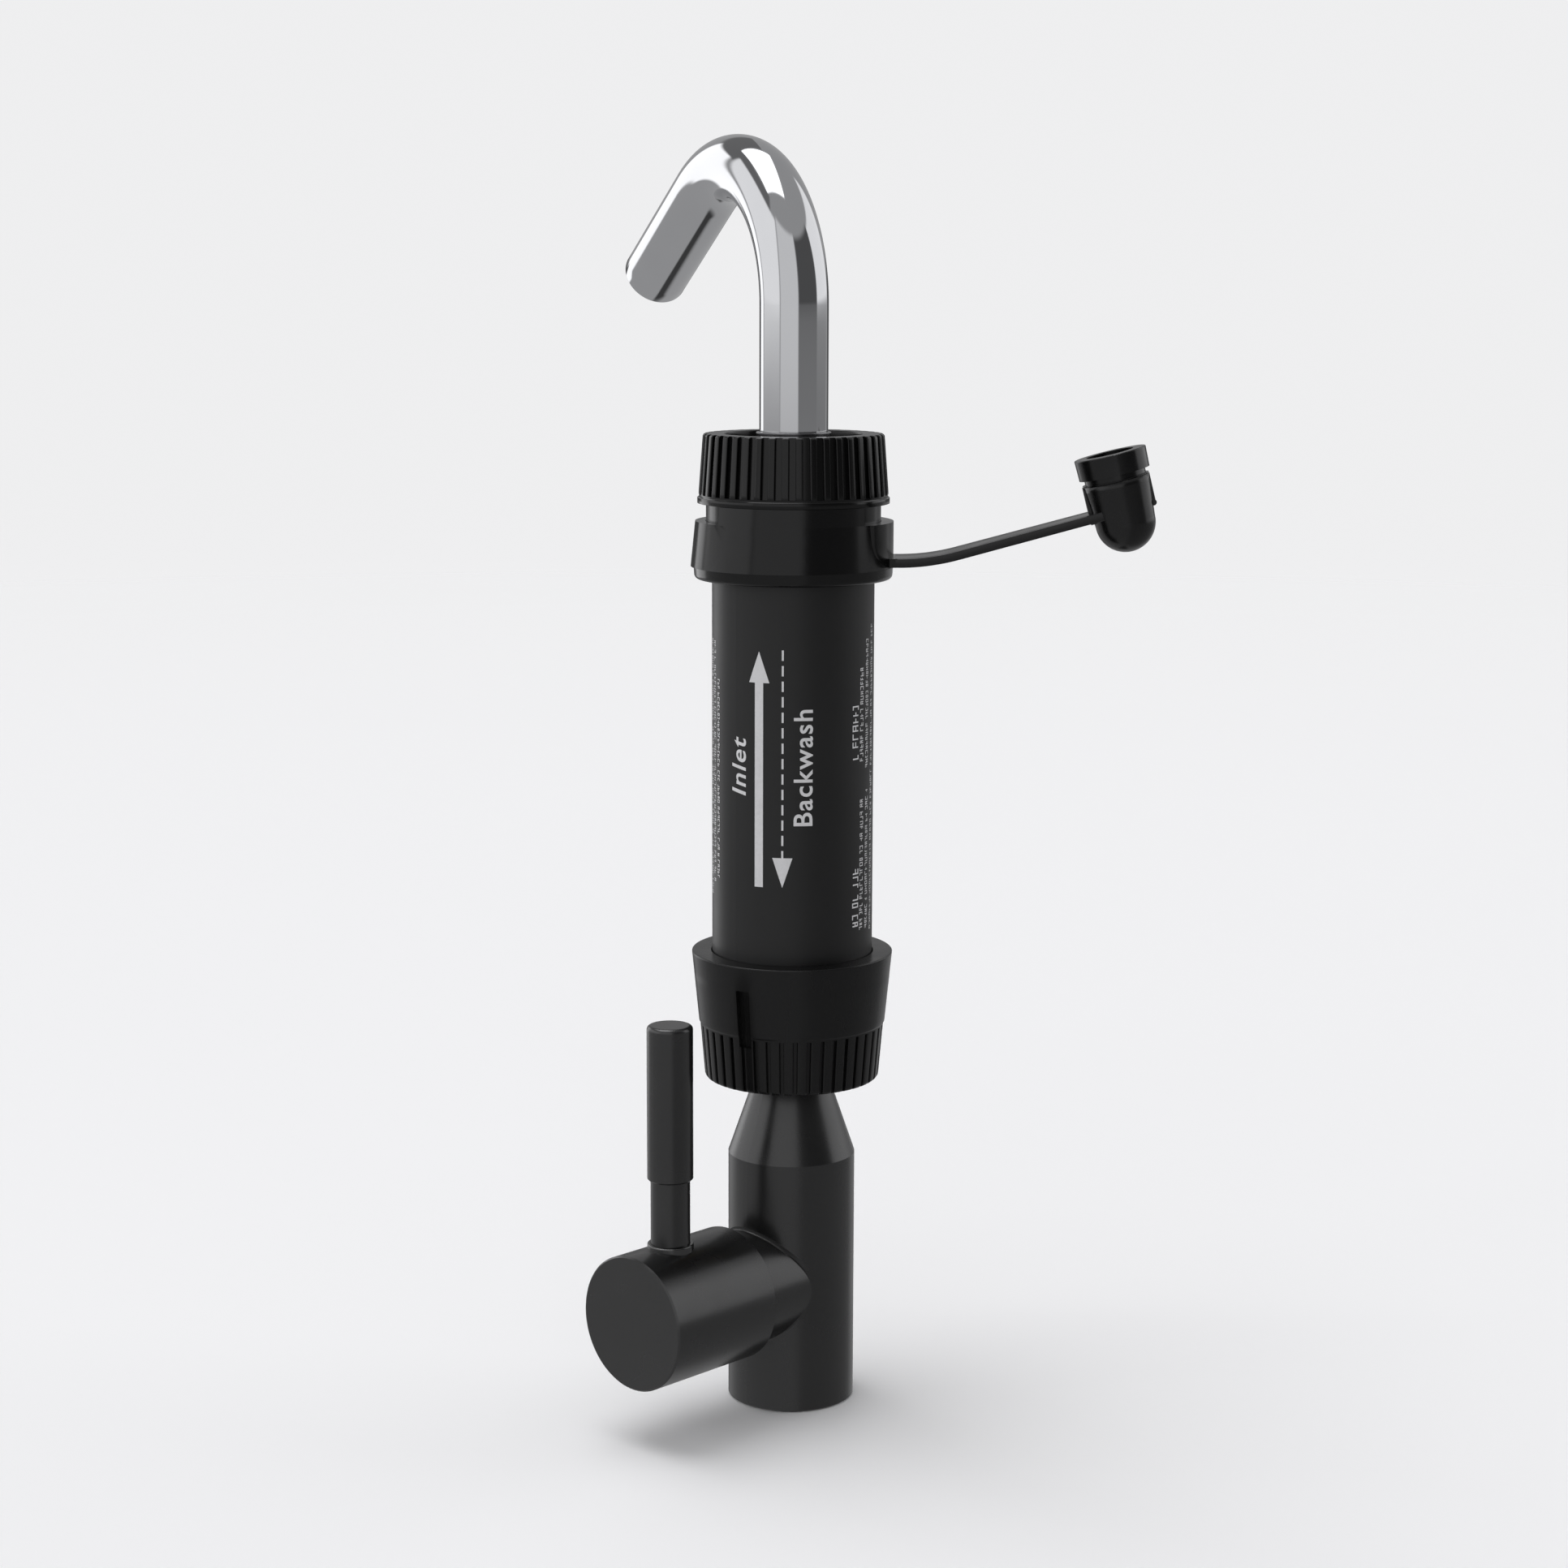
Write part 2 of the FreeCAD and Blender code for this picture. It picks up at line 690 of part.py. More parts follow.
def cartridge_tube():
    """Straight filter housing tube."""
    return ring(TUBE_R, TUBE_BORE_R, TUBE_LOW, TUBE_TOP)


def one_fibre(offset, reach):
    """A hollow-fibre membrane folded into a U, open ends up."""
    legs = []
    for side in (-1, 1):
        foot = V(side * reach, offset, FIBRE_TURN_Z)
        legs.append(Part.makeCylinder(FIBRE_R, POTTING_TOP - FIBRE_TURN_Z, foot))
    section = Part.Face(Part.Wire(Part.makeCircle(FIBRE_R, V(reach, offset, FIBRE_TURN_Z))))
    turn = section.revolve(V(0, offset, FIBRE_TURN_Z), Y_AXIS, 180)
    return legs[0].fuse([legs[1], turn]).removeSplitter()


def fibre_bundle():
    """All the fibres, nested in rows inside the tube."""
    fibres = []
    limit = TUBE_BORE_R - FIBRE_R - 1.2
    for row in range(-3, 4):
        offset = row * FIBRE_SPACING
        reach = FIBRE_SPACING / 2
        while math.hypot(offset, reach) < limit:
            fibres.append(one_fibre(offset, reach))
            reach += FIBRE_SPACING
    return Part.makeCompound(fibres)


def potting_plug():
    """Cast resin plug that holds the fibres' open ends."""
    plug = rod(TUBE_BORE_R - SNUG, POTTING_LOW, POTTING_TOP)
    return plug.cut(fibre_bundle())


def outlet_end_cap():
    """Cartridge's upper cap: sleeve over the tube, threaded neck and spout socket."""
    outline = [
        (TAIL_R + RUNNING, OUTLET_SOCKET_LOW),
        (OUTLET_SOCKET_R, OUTLET_SOCKET_LOW),
        (OUTLET_SOCKET_R, OUTLET_SPIGOT_LOW),
        (CAP_SPIGOT_R, OUTLET_SPIGOT_LOW),
        (CAP_SPIGOT_R, OUTLET_SEAL_LOW),
        (SEAL_GROOVE_R, OUTLET_SEAL_LOW),
        (SEAL_GROOVE_R, OUTLET_SEAL_LOW + SEAL_GROOVE_W),
        (CAP_SPIGOT_R, OUTLET_SEAL_LOW + SEAL_GROOVE_W),
        (CAP_SPIGOT_R, TUBE_TOP),
        (TUBE_R + SNUG, TUBE_TOP),
        (TUBE_R + SNUG, NECK_SLEEVE_LOW),
        (NECK_SLEEVE_R, NECK_SLEEVE_LOW),
        (NECK_SLEEVE_R, NECK_SLEEVE_TOP),
        (THREAD_ROOT_R, NECK_SLEEVE_TOP),
    ]
    outline += thread_outline(NECK_SLEEVE_TOP + 0.4, OUTLET_CAP_TOP)
    outline += [
        (THREAD_ROOT_R, OUTLET_CAP_TOP),
        (TAIL_FLANGE_SEAT_R, OUTLET_CAP_TOP),
        (TAIL_FLANGE_SEAT_R, TAIL_FLANGE_SEAT_Z),
        (TAIL_R + RUNNING, TAIL_FLANGE_SEAT_Z),
    ]
    return turned(outline)


def outlet_cap_seal():
    """Rubber ring between the upper cap and the tube."""
    return o_ring(CAP_SEAL_R, SEAL_SECTION, OUTLET_SEAL_LOW + SEAL_GROOVE_W / 2)


# ---- tether collar, tether and dust cap


def strap_path():
    """Centre line of the tether: level at the collar, then a gentle rising arc."""
    rise = math.radians(STRAP_RISE)
    arc_end = V(
        STRAP_ARC_START + STRAP_ARC_R * math.sin(rise),
        0,
        STRAP_Z + STRAP_ARC_R * (1 - math.cos(rise)),
    )
    far = arc_end + V(math.cos(rise), 0, math.sin(rise)) * 30
    return arc_end, far


def strap_point(rho):
    """Point of the centre line at a distance from the main axis."""
    arc_end, far = strap_path()
    if rho < arc_end.x:
        sine = (rho - STRAP_ARC_START) / STRAP_ARC_R
        return V(rho, 0, STRAP_Z + STRAP_ARC_R * (1 - math.sqrt(1 - sine * sine)))
    share = (rho - arc_end.x) / (far.x - arc_end.x)
    return arc_end + (far - arc_end) * share


def whole_strap():
    """Tapered flat strap along the whole centre line, before it is shared out."""
    arc_end, far = strap_path()
    rise = math.radians(STRAP_RISE)
    half = STRAP_T / 2
    up_far = V(-math.sin(rise), 0, math.cos(rise)) * half
    start_x = STRAP_ROOT_RHO
    middle = math.radians(STRAP_RISE / 2)
    sides = []
    for sign in (1, -1):
        radius = STRAP_ARC_R - sign * half
        begin = V(STRAP_ARC_START, 0, STRAP_Z + sign * half)
        bend = V(
            STRAP_ARC_START + radius * math.sin(middle),
            0,
            STRAP_Z + STRAP_ARC_R - radius * math.cos(middle),
        )
        sides.append((begin, bend, arc_end + up_far * sign, far + up_far * sign))
    (top_a, top_b, top_c, top_d), (low_a, low_b, low_c, low_d) = sides
    top_start = V(start_x, 0, top_a.z)
    low_start = V(start_x, 0, low_a.z)
    edges = [
        Part.LineSegment(top_start, top_a).toShape(),
        Part.Arc(top_a, top_b, top_c).toShape(),
        Part.LineSegment(top_c, top_d).toShape(),
        Part.LineSegment(top_d, low_d).toShape(),
        Part.LineSegment(low_d, low_c).toShape(),
        Part.Arc(low_c, low_b, low_a).toShape(),
        Part.LineSegment(low_a, low_start).toShape(),
        Part.LineSegment(low_start, top_start).toShape(),
    ]
    profile = Part.Face(Part.Wire(edges))
    profile.translate(V(0, -STRAP_ROOT_W / 2, 0))
    band = profile.extrude(V(0, STRAP_ROOT_W, 0))
    plan = [
        V(start_x, -STRAP_ROOT_W / 2, STRAP_Z - 10),
        V(CAP_RHO, -STRAP_TIP_W / 2, STRAP_Z - 10),
        V(CAP_RHO, STRAP_TIP_W / 2, STRAP_Z - 10),
        V(start_x, STRAP_ROOT_W / 2, STRAP_Z - 10),
    ]
    taper = Part.Face(Part.makePolygon(plan + plan[:1])).extrude(V(0, 0, 40))
    return band.common(taper)


def strap_between(low_rho, high_rho):
    """The stretch of the strap between two distances from the main axis."""
    wide = (-STRAP_ROOT_W, STRAP_ROOT_W)
    tall = (COLLAR_LOW - 10, CAP_Z + 10)
    return whole_strap().common(block((low_rho, high_rho), wide, tall))


def knuckle(rho, radius, width):
    """Cross cylinder centred on the strap, where it flexes."""
    centre = strap_point(rho) - Y_AXIS * (width / 2)
    return Part.makeCylinder(radius, width, centre, Y_AXIS)


def strap_width(rho):
    """Width of the tapered strap at a distance from the main axis."""
    share = (rho - STRAP_ROOT_RHO) / (CAP_RHO - STRAP_ROOT_RHO)
    return STRAP_ROOT_W + (STRAP_TIP_W - STRAP_ROOT_W) * share


def tether_strap():
    """Free length of the tether, with a round knuckle where it flexes at each end."""
    strap = strap_between(STRAP_ROOT_PIVOT, STRAP_TIP_PIVOT)
    for rho in (STRAP_ROOT_PIVOT, STRAP_TIP_PIVOT):
        strap = strap.fuse(knuckle(rho, KNUCKLE_R, strap_width(rho)))
    return turned_to(strap.removeSplitter(), TETHER_AZIMUTH)


def collar_pad():
    """Raised pad on the collar that narrows down into the tether's root."""
    shell = ring(PAD_R, PAD_INNER_R, COLLAR_SEAM + 0.1, COLLAR_NOTCH_Z)
    low_z = STRAP_Z - STRAP_T / 2
    root = (STRAP_ROOT_W / 2, low_z)
    curve = (9.0, 161.8)
    waist = (PAD_HALF_W - 0.1, 165.2)
    top = (PAD_HALF_W, COLLAR_NOTCH_Z)
    right = [V(0, y, z) for y, z in (root, curve, waist, top)]
    left = [V(0, -y, z) for y, z in (root, curve, waist, top)]
    edges = [
        Part.LineSegment(left[3], right[3]),
        Part.LineSegment(right[3], right[2]),
        Part.Arc(right[2], right[1], right[0]),
        Part.LineSegment(right[0], left[0]),
        Part.Arc(left[0], left[1], left[2]),
        Part.LineSegment(left[2], left[3]),
    ]
    outline = Part.Face(Part.Wire([edge.toShape() for edge in edges]))
    return shell.common(outline.extrude(V(PAD_R + 5, 0, 0)))


def notch_cutter():
    """Sector that opens a window in the collar's skirt, centred on +X."""
    half = math.radians(NOTCH_HALF_ANGLE)
    far = 40.0
    points = [
        V(0, 0, COLLAR_NOTCH_Z),
        V(far * math.cos(half), -far * math.sin(half), COLLAR_NOTCH_Z),
        V(far * math.cos(half), far * math.sin(half), COLLAR_NOTCH_Z),
    ]
    return Part.Face(Part.makePolygon(points + points[:1])).extrude(V(0, 0, 10))


def flared(low, low_r, low_shift, high, high_r, high_shift):
    """Solid between two level circles whose centres lean away from the tether."""
    wires = []
    for z, radius, shift in ((low, low_r, low_shift), (high, high_r, high_shift)):
        wires.append(Part.Wire(Part.makeCircle(radius, V(-shift, 0, z))))
    return Part.makeLoft(wires, True, True)


def tether_collar():
    """Loose collar round the cartridge's neck, with two windows and the tether's root."""
    ring_top_r = 18.5
    ring_low_r = 18.35
    foot = turned(
        [
            (0, COLLAR_LOW),
            (ring_low_r, COLLAR_LOW),
            (ring_top_r, COLLAR_SEAM),
            (0, COLLAR_SEAM),
        ]
    )
    foot = foot.makeFillet(0.9, edges_at(foot, COLLAR_LOW, ring_low_r))
    skirt = flared(COLLAR_SEAM, SKIRT_LOW_R, SKIRT_LOW_SHIFT, COLLAR_NOTCH_Z, SKIRT_TOP_R, SKIRT_TOP_SHIFT)
    band = flared(COLLAR_NOTCH_Z, SKIRT_TOP_R, SKIRT_TOP_SHIFT, COLLAR_TOP, COLLAR_TOP_R, 0)
    root = strap_between(STRAP_ROOT_RHO, STRAP_ROOT_PIVOT).cut(
        knuckle(STRAP_ROOT_PIVOT, KNUCKLE_R + SNUG, 2 * STRAP_ROOT_W)
    )
    collar = foot.fuse([skirt, band, collar_pad(), root])
    step = NECK_SLEEVE_LOW - 0.2
    collar = collar.cut(rod(TUBE_R + RUNNING, COLLAR_LOW - 1, step + 1))
    collar = collar.cut(rod(NECK_SLEEVE_R + RUNNING, step, COLLAR_TOP + 1))
    for side in (0, 180):
        collar = collar.cut(turned_to(notch_cutter(), side))
    return turned_to(collar.removeSplitter(), TETHER_AZIMUTH)


def cap_placed(shape):
    """Move a shape from the cap's own upright axes to its tilted place."""
    placed = shape.copy()
    placed.rotate(ORIGIN, Y_AXIS, -CAP_TILT)
    placed.translate(V(CAP_RHO, 0, CAP_Z))
    return placed


def cap_shell():
    """Outer body of the dust cap in its own axes, dome centre at the origin."""
    groove_low, groove_top = CAP_GROOVE
    body = turned(
        [
            (0, 0),
            (CAP_DOME_R, 0),
            (CAP_NECK_R, groove_low),
            (CAP_GROOVE_R, groove_low),
            (CAP_GROOVE_R, groove_top),
            (CAP_BEAD_R, groove_top),
            (CAP_RIM_R, CAP_LENGTH),
            (0, CAP_LENGTH),
        ]
    )
    body = body.makeFillet(0.2, edges_at(body, CAP_LENGTH, CAP_RIM_R))
    dome = Part.makeSphere(CAP_DOME_R).common(rod(CAP_DOME_R + 1, -CAP_DOME_R - 1, 0))
    return body.fuse(dome).removeSplitter()


def dust_cap():
    """Soft cap with a bead, a neck groove, side ribs and the tether's tip."""
    shell = cap_shell()
    rib_top = CAP_GROOVE[0] - 0.1
    outer_rib = block((5.0, 6.25), (-0.5, 0.5), (2.4, rib_top))
    catch = Part.makeCylinder(0.6, 2.0, V(5.75, -1.0, 2.4), Y_AXIS)
    inner_rib = block((-6.3, -5.0), (-1.2, 1.2), (1.0, rib_top))
    shell = cap_placed(shell.fuse([outer_rib, catch, inner_rib]))
    tip = strap_between(STRAP_TIP_PIVOT, CAP_RHO - 3)
    tip = tip.cut(knuckle(STRAP_TIP_PIVOT, KNUCKLE_R + SNUG, 2 * STRAP_ROOT_W))
    round_end = Part.makeSphere(CAP_BORE_R, V(0, 0, CAP_BORE_FLOOR))
    bore = rod(CAP_BORE_R, CAP_BORE_FLOOR, CAP_LENGTH + 1).fuse(round_end)
    cap = shell.fuse(tip).cut(cap_placed(bore))
    return turned_to(cap.removeSplitter(), TETHER_AZIMUTH)


# ---- upper union and spout


def upper_nut():
    """Union nut with a thin lip, a ribbed band and an open mouth round the spout."""
    rim_r = UPPER_RIB_TOP_R - 0.07
    neck_r = UPPER_RIB_LOW_R - 0.35
    lip_top = UPPER_NUT_LOW + UPPER_NUT_LIP_T
    nut = turned(
        [
            (THREAD_R + RUNNING, UPPER_NUT_LOW),
            (UPPER_NUT_LIP_R, UPPER_NUT_LOW),
            (UPPER_NUT_LIP_R, lip_top),
            (neck_r, lip_top + 0.15),
            (neck_r, UPPER_RIB_LOW - 0.2),
            (UPPER_RIB_LOW_R, UPPER_RIB_LOW),
            (UPPER_RIB_TOP_R, UPPER_RIB_TOP),
            (rim_r, UPPER_NUT_TOP),
            (UPPER_NUT_MOUTH_R, UPPER_NUT_TOP),
            (UPPER_NUT_MOUTH_R, UPPER_NUT_SHOULDER),
            (THREAD_R + RUNNING, UPPER_NUT_SHOULDER),
        ]
    )
    nut = nut.makeFillet(0.55, edges_at(nut, UPPER_NUT_TOP, rim_r))
    nut = nut.makeFillet(0.3, edges_at(nut, UPPER_NUT_TOP, UPPER_NUT_MOUTH_R))
    past = UPPER_NUT_TOP + 1
    taper = (UPPER_RIB_TOP_R - UPPER_RIB_LOW_R) / (UPPER_RIB_TOP - UPPER_RIB_LOW)
    past_r = UPPER_RIB_TOP_R + taper * (past - UPPER_RIB_TOP)
    grooves = rib_grooves(
        UPPER_RIB_LOW - 0.1, past, UPPER_RIB_LOW_R, past_r, UPPER_GROOVE_W, UPPER_GROOVE_AZIMUTH
    )
    return nut.cut(grooves)


def upper_washer():
    """Slip washer under the nut's shoulder."""
    high = UPPER_NUT_SHOULDER - SNUG
    return ring(WASHER_R, UPPER_WASHER_BORE_R, high - 0.7, high)


def spout_bushing():
    """Flanged bushing that the nut clamps and the spout turns in."""
    bore = SPOUT_R + RUNNING
    flange_top = UPPER_NUT_SHOULDER - 0.85
    return turned(
        [
            (bore, OUTLET_CAP_TOP),
            (BUSHING_R, OUTLET_CAP_TOP),
            (BUSHING_R, flange_top),
            (BUSHING_NECK_R, flange_top),
            (BUSHING_NECK_R - 1.2, UPPER_NUT_SHOULDER + 1.0),
            (bore, UPPER_NUT_SHOULDER + 1.0),
        ]
    )


def spout_tail():
    """Brass tail in the spout's foot: sealed spigot and a flange that keeps it in."""
    outline = [(WATERWAY_R, TAIL_LOW), (TAIL_R, TAIL_LOW)]
    outline += seal_grooves(TAIL_R, TAIL_SEAL_PLACES)
    outline += [
        (TAIL_R, TAIL_FLANGE_LOW),
        (TAIL_FLANGE_R, TAIL_FLANGE_LOW),
        (TAIL_FLANGE_R, SPOUT_LOW),
        (SPOUT_BORE_R, SPOUT_LOW),
        (SPOUT_BORE_R, TAIL_TOP),
        (WATERWAY_R, TAIL_TOP),
    ]
    return turned(outline)


def spout_seals():
    """The two rubber rings on the spout's tail."""
    rings = [o_ring(TAIL_SEAL_R, TAIL_SEAL_SECTION, z) for z in TAIL_SEAL_PLACES]
    return Part.makeCompound(rings)


def spout_ferrule():
    """Bright ring round the spout's foot."""
    outer = SPOUT_R + FERRULE_T
    top = UPPER_NUT_TOP + 0.3
    ferrule = ring(outer, SPOUT_R, UPPER_NUT_SHOULDER + 1.2, top)
    return ferrule.makeFillet(0.2, edges_at(ferrule, top, outer))


def bent_rod(radius):
    """Solid rod along the spout's centre line: upright run, bend over, straight end."""
    centre = V(BEND_R, 0, BEND_Z)
    foot = Part.Face(Part.Wire(Part.makeCircle(radius, V(0, 0, BEND_Z))))
    bend = foot.revolve(centre, Y_AXIS, BEND_ANGLE)
    end = foot.extrude(V(0, 0, SPOUT_END_LENGTH))
    end.rotate(centre, Y_AXIS, BEND_ANGLE)
    return rod(radius, SPOUT_LOW, BEND_Z).fuse([bend, end]).removeSplitter()


def spout_tube():
    """Bent chromed tube."""
    return turned_to(bent_rod(SPOUT_R).cut(bent_rod(SPOUT_BORE_R)), SPOUT_AZIMUTH)


PIECES = {
    "valve_body": valve_body,
    "base_seal": base_seal,
    "seat_seal": seat_seal,
    "fixed_disc": fixed_disc,
    "moving_disc": moving_disc,
    "headwork_body": headwork_body,
    "headwork_seal": headwork_seal,
    "spindle": spindle,
    "spindle_seals": spindle_seals,
    "spindle_clip": spindle_clip,
    "handle_hub": handle_hub,
    "hub_set_screw": hub_set_screw,
    "lever_foot": lever_foot,
    "lever_stem": lever_stem,
    "lever_grip": lever_grip,
    "union_nipple": union_nipple,
    "nipple_seals": nipple_seals,
    "lower_washer": lower_washer,
    "lower_nut": lower_nut,
    "inlet_end_cap": inlet_end_cap,
    "inlet_cap_seal": inlet_cap_seal,
    "inlet_screen": inlet_screen,
    "cartridge_tube": cartridge_tube,
    "fibre_bundle": fibre_bundle,
    "potting_plug": potting_plug,
    "outlet_end_cap": outlet_end_cap,
    "outlet_cap_seal": outlet_cap_seal,
    "tether_collar": tether_collar,
    "tether_strap": tether_strap,
    "dust_cap": dust_cap,
    "upper_nut": upper_nut,
    "upper_washer": upper_washer,
    "spout_bushing": spout_bushing,
    "spout_tail": spout_tail,
    "spout_seals": spout_seals,
    "spout_ferrule": spout_ferrule,
    "spout_tube": spout_tube,
}

os.makedirs("parts", exist_ok=True)
for name, make in PIECES.items():
    shape = make()
    shape.exportStep(os.path.join("parts", name + ".step"))
    print(f"{name:16s} solids {len(shape.Solids):3d} valid {shape.isValid()} volume {shape.Volume:10.2f}")
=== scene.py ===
"""Looks of the filter tap: materials, fine meshes, printed marks, studio and camera."""

import json
import math
import random

import bpy
import bmesh
from mathutils import Matrix, Vector


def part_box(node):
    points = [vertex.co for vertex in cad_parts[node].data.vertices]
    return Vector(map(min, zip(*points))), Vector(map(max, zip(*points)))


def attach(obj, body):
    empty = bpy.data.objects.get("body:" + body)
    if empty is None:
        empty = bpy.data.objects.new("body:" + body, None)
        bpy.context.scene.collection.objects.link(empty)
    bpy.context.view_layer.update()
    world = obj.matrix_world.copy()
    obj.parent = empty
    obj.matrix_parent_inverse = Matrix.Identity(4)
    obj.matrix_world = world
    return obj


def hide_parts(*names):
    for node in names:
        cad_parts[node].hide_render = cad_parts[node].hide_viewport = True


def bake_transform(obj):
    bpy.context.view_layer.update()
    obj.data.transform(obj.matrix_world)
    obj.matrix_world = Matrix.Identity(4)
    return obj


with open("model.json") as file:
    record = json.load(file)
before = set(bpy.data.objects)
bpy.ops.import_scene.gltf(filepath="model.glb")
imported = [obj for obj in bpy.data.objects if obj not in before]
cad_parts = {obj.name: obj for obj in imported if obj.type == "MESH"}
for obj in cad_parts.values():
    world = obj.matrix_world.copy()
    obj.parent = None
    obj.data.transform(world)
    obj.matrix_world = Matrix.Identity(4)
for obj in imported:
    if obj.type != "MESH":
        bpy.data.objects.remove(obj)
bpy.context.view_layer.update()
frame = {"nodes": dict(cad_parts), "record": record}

MM = 0.001

# ---- the view: the camera's place about the main axis and its lens
CAMERA_AZIMUTH = math.radians(43.9)
CAMERA_DISTANCE = 571 * MM
CAMERA_SIDE = -1.61 * MM
CAMERA_HEIGHT = 214.77 * MM
CAMERA_PITCH = math.radians(9.5)
CAMERA_ROLL = math.radians(-0.163)
CAMERA_LENS = 70.8
SENSOR = 36.0


# ---- node helpers


def new_material(name):
    material = bpy.data.materials.new(name)
    material.use_nodes = True
    tree = material.node_tree
    return material, tree, tree.nodes["Principled BSDF"]


def add_node(tree, kind, **settings):
    """Add a shader node; settings are its properties or, if it has such an input, that input's value."""
    node = tree.nodes.new(kind)
    for key, value in settings.items():
        if hasattr(node, key):
            setattr(node, key, value)
        else:
            node.inputs[key.replace("_", " ")].default_value = value
    return node


def object_position(tree):
    return tree.nodes.new("ShaderNodeTexCoord").outputs["Object"]


def noise(tree, vector, scale, detail=3.0, roughness=0.5):
    node = add_node(tree, "ShaderNodeTexNoise", Scale=scale, Detail=detail, Roughness=roughness)
    tree.links.new(vector, node.inputs["Vector"])
    return node.outputs["Fac"]


def remap(tree, value, low, high, to_low, to_high):
    node = tree.nodes.new("ShaderNodeMapRange")
    tree.links.new(value, node.inputs["Value"])
    for key, number in (("From Min", low), ("From Max", high), ("To Min", to_low), ("To Max", to_high)):
        node.inputs[key].default_value = number
    return node.outputs["Result"]


def mix_colour(tree, factor, first, second):
    node = tree.nodes.new("ShaderNodeMix")
    node.data_type = "RGBA"
    tree.links.new(factor, node.inputs["Factor"])
    for socket, colour in ((node.inputs["A"], first), (node.inputs["B"], second)):
        if isinstance(colour, tuple):
            socket.default_value = (*colour, 1.0)
        else:
            tree.links.new(colour, socket)
    return node.outputs["Result"]


def bump(tree, height, strength, distance):
    node = add_node(tree, "ShaderNodeBump", Strength=strength, Distance=distance)
    tree.links.new(height, node.inputs["Height"])
    return node.outputs["Normal"]


def stretched(tree, vector, x, y, z):
    node = tree.nodes.new("ShaderNodeMapping")
    node.inputs["Scale"].default_value = (x, y, z)
    tree.links.new(vector, node.inputs["Vector"])
    return node.outputs["Vector"]


def dust(tree, vector, scale, amount):
    """Sparse tiny specks: warped cores of a few random cells."""
    cells = add_node(tree, "ShaderNodeTexVoronoi", Scale=scale)
    tree.links.new(vector, cells.inputs["Vector"])
    ragged = remap(tree, noise(tree, vector, scale * 14, 2), 0.3, 0.7, 0.6, 2.4)
    distance = math_node(tree, "MULTIPLY", cells.outputs["Distance"], ragged)
    core = remap(tree, distance, 0.02, 0.06, 1.0, 0.0)
    split = tree.nodes.new("ShaderNodeSeparateColor")
    tree.links.new(cells.outputs["Color"], split.inputs["Color"])
    chosen = math_node(tree, "GREATER_THAN", split.outputs["Red"], 1.0 - amount)
    return math_node(tree, "MULTIPLY", core, chosen)


def smooth_step(tree, value, edge, softness, falling=False):
    """0 to 1, or 1 to 0 if falling, across an edge of the value."""
    node = tree.nodes.new("ShaderNodeMapRange")
    node.interpolation_type = "SMOOTHSTEP"
    tree.links.new(value, node.inputs["Value"])
    node.inputs["From Min"].default_value = edge - softness / 2
    node.inputs["From Max"].default_value = edge + softness / 2
    node.inputs["To Min"].default_value = 1.0 if falling else 0.0
    node.inputs["To Max"].default_value = 0.0 if falling else 1.0
    return node.outputs["Result"]


def math_node(tree, operation, *values):
    """One sum on node outputs and plain numbers."""
    node = add_node(tree, "ShaderNodeMath", operation=operation)
    for socket, value in zip(node.inputs, values):
        if isinstance(value, (int, float)):
            socket.default_value = value
        else:
            tree.links.new(value, socket)
    return node.outputs[0]


def between(tree, value, low, high, softness):
    """1 between two edges of the value, 0 outside them."""
    rising = smooth_step(tree, value, low, softness)
    falling = smooth_step(tree, value, high, softness, falling=True)
    return math_node(tree, "MULTIPLY", rising, falling)


# ---- materials


def coated_black(name, tone, rough, level):
    """Matt powder coat on brass: fine orange peel, faint cloudiness, a few dust specks."""
    material, tree, shader = new_material(name)
    where = object_position(tree)
    cloud = noise(tree, where, 60, 4)
    peel = noise(tree, where, 2600, 2)
    base = mix_colour(tree, cloud, (tone * 0.75,) * 3, (tone * 1.3, tone * 1.3, tone * 1.33))
    speck = dust(tree, where, 170, 0.05)
    colour = mix_colour(tree, speck, base, (0.22, 0.21, 0.2))
    tree.links.new(colour, shader.inputs["Base Color"])
    tree.links.new(remap(tree, cloud, 0.3, 0.7, rough - 0.04, rough + 0.05), shader.inputs["Roughness"])
    tree.links.new(bump(tree, peel, 0.25, 0.00002), shader.inputs["Normal"])
    shader.inputs["Specular IOR Level"].default_value = level
    return material


# inner and outer radius of the dull corner round the side boss, in millimetres, and its extra roughness
CORNER_RING = (10.86, 11.35)
CORNER_DULLING = 0.6


def body_coat(axis_height, *settings):
    """The coat of the valve body, duller on top of the side boss, where paint fills the corner."""
    material = coated_black(*settings)
    tree = material.node_tree
    shader = tree.nodes["Principled BSDF"]
    split = tree.nodes.new("ShaderNodeSeparateXYZ")
    tree.links.new(object_position(tree), split.inputs["Vector"])
    out, side, up = split.outputs
    rise = math_node(tree, "SUBTRACT", up, axis_height)
    side_square = math_node(tree, "MULTIPLY", side, side)
    rise_square = math_node(tree, "MULTIPLY", rise, rise)
    radius = math_node(tree, "SQRT", math_node(tree, "ADD", side_square, rise_square))
    ring = between(tree, radius, CORNER_RING[0] * MM, CORNER_RING[1] * MM, 0.12 * MM)
    upper = smooth_step(tree, rise, 6.0 * MM, 5.0 * MM)
    near_boss = math_node(tree, "GREATER_THAN", out, 0.0)
    corner = math_node(tree, "MULTIPLY", ring, math_node(tree, "MULTIPLY", upper, near_boss))
    plain = shader.inputs["Roughness"].links[0].from_socket
    dulling = math_node(tree, "MULTIPLY", corner, CORNER_DULLING)
    tree.links.new(math_node(tree, "ADD", plain, dulling), shader.inputs["Roughness"])
    return material


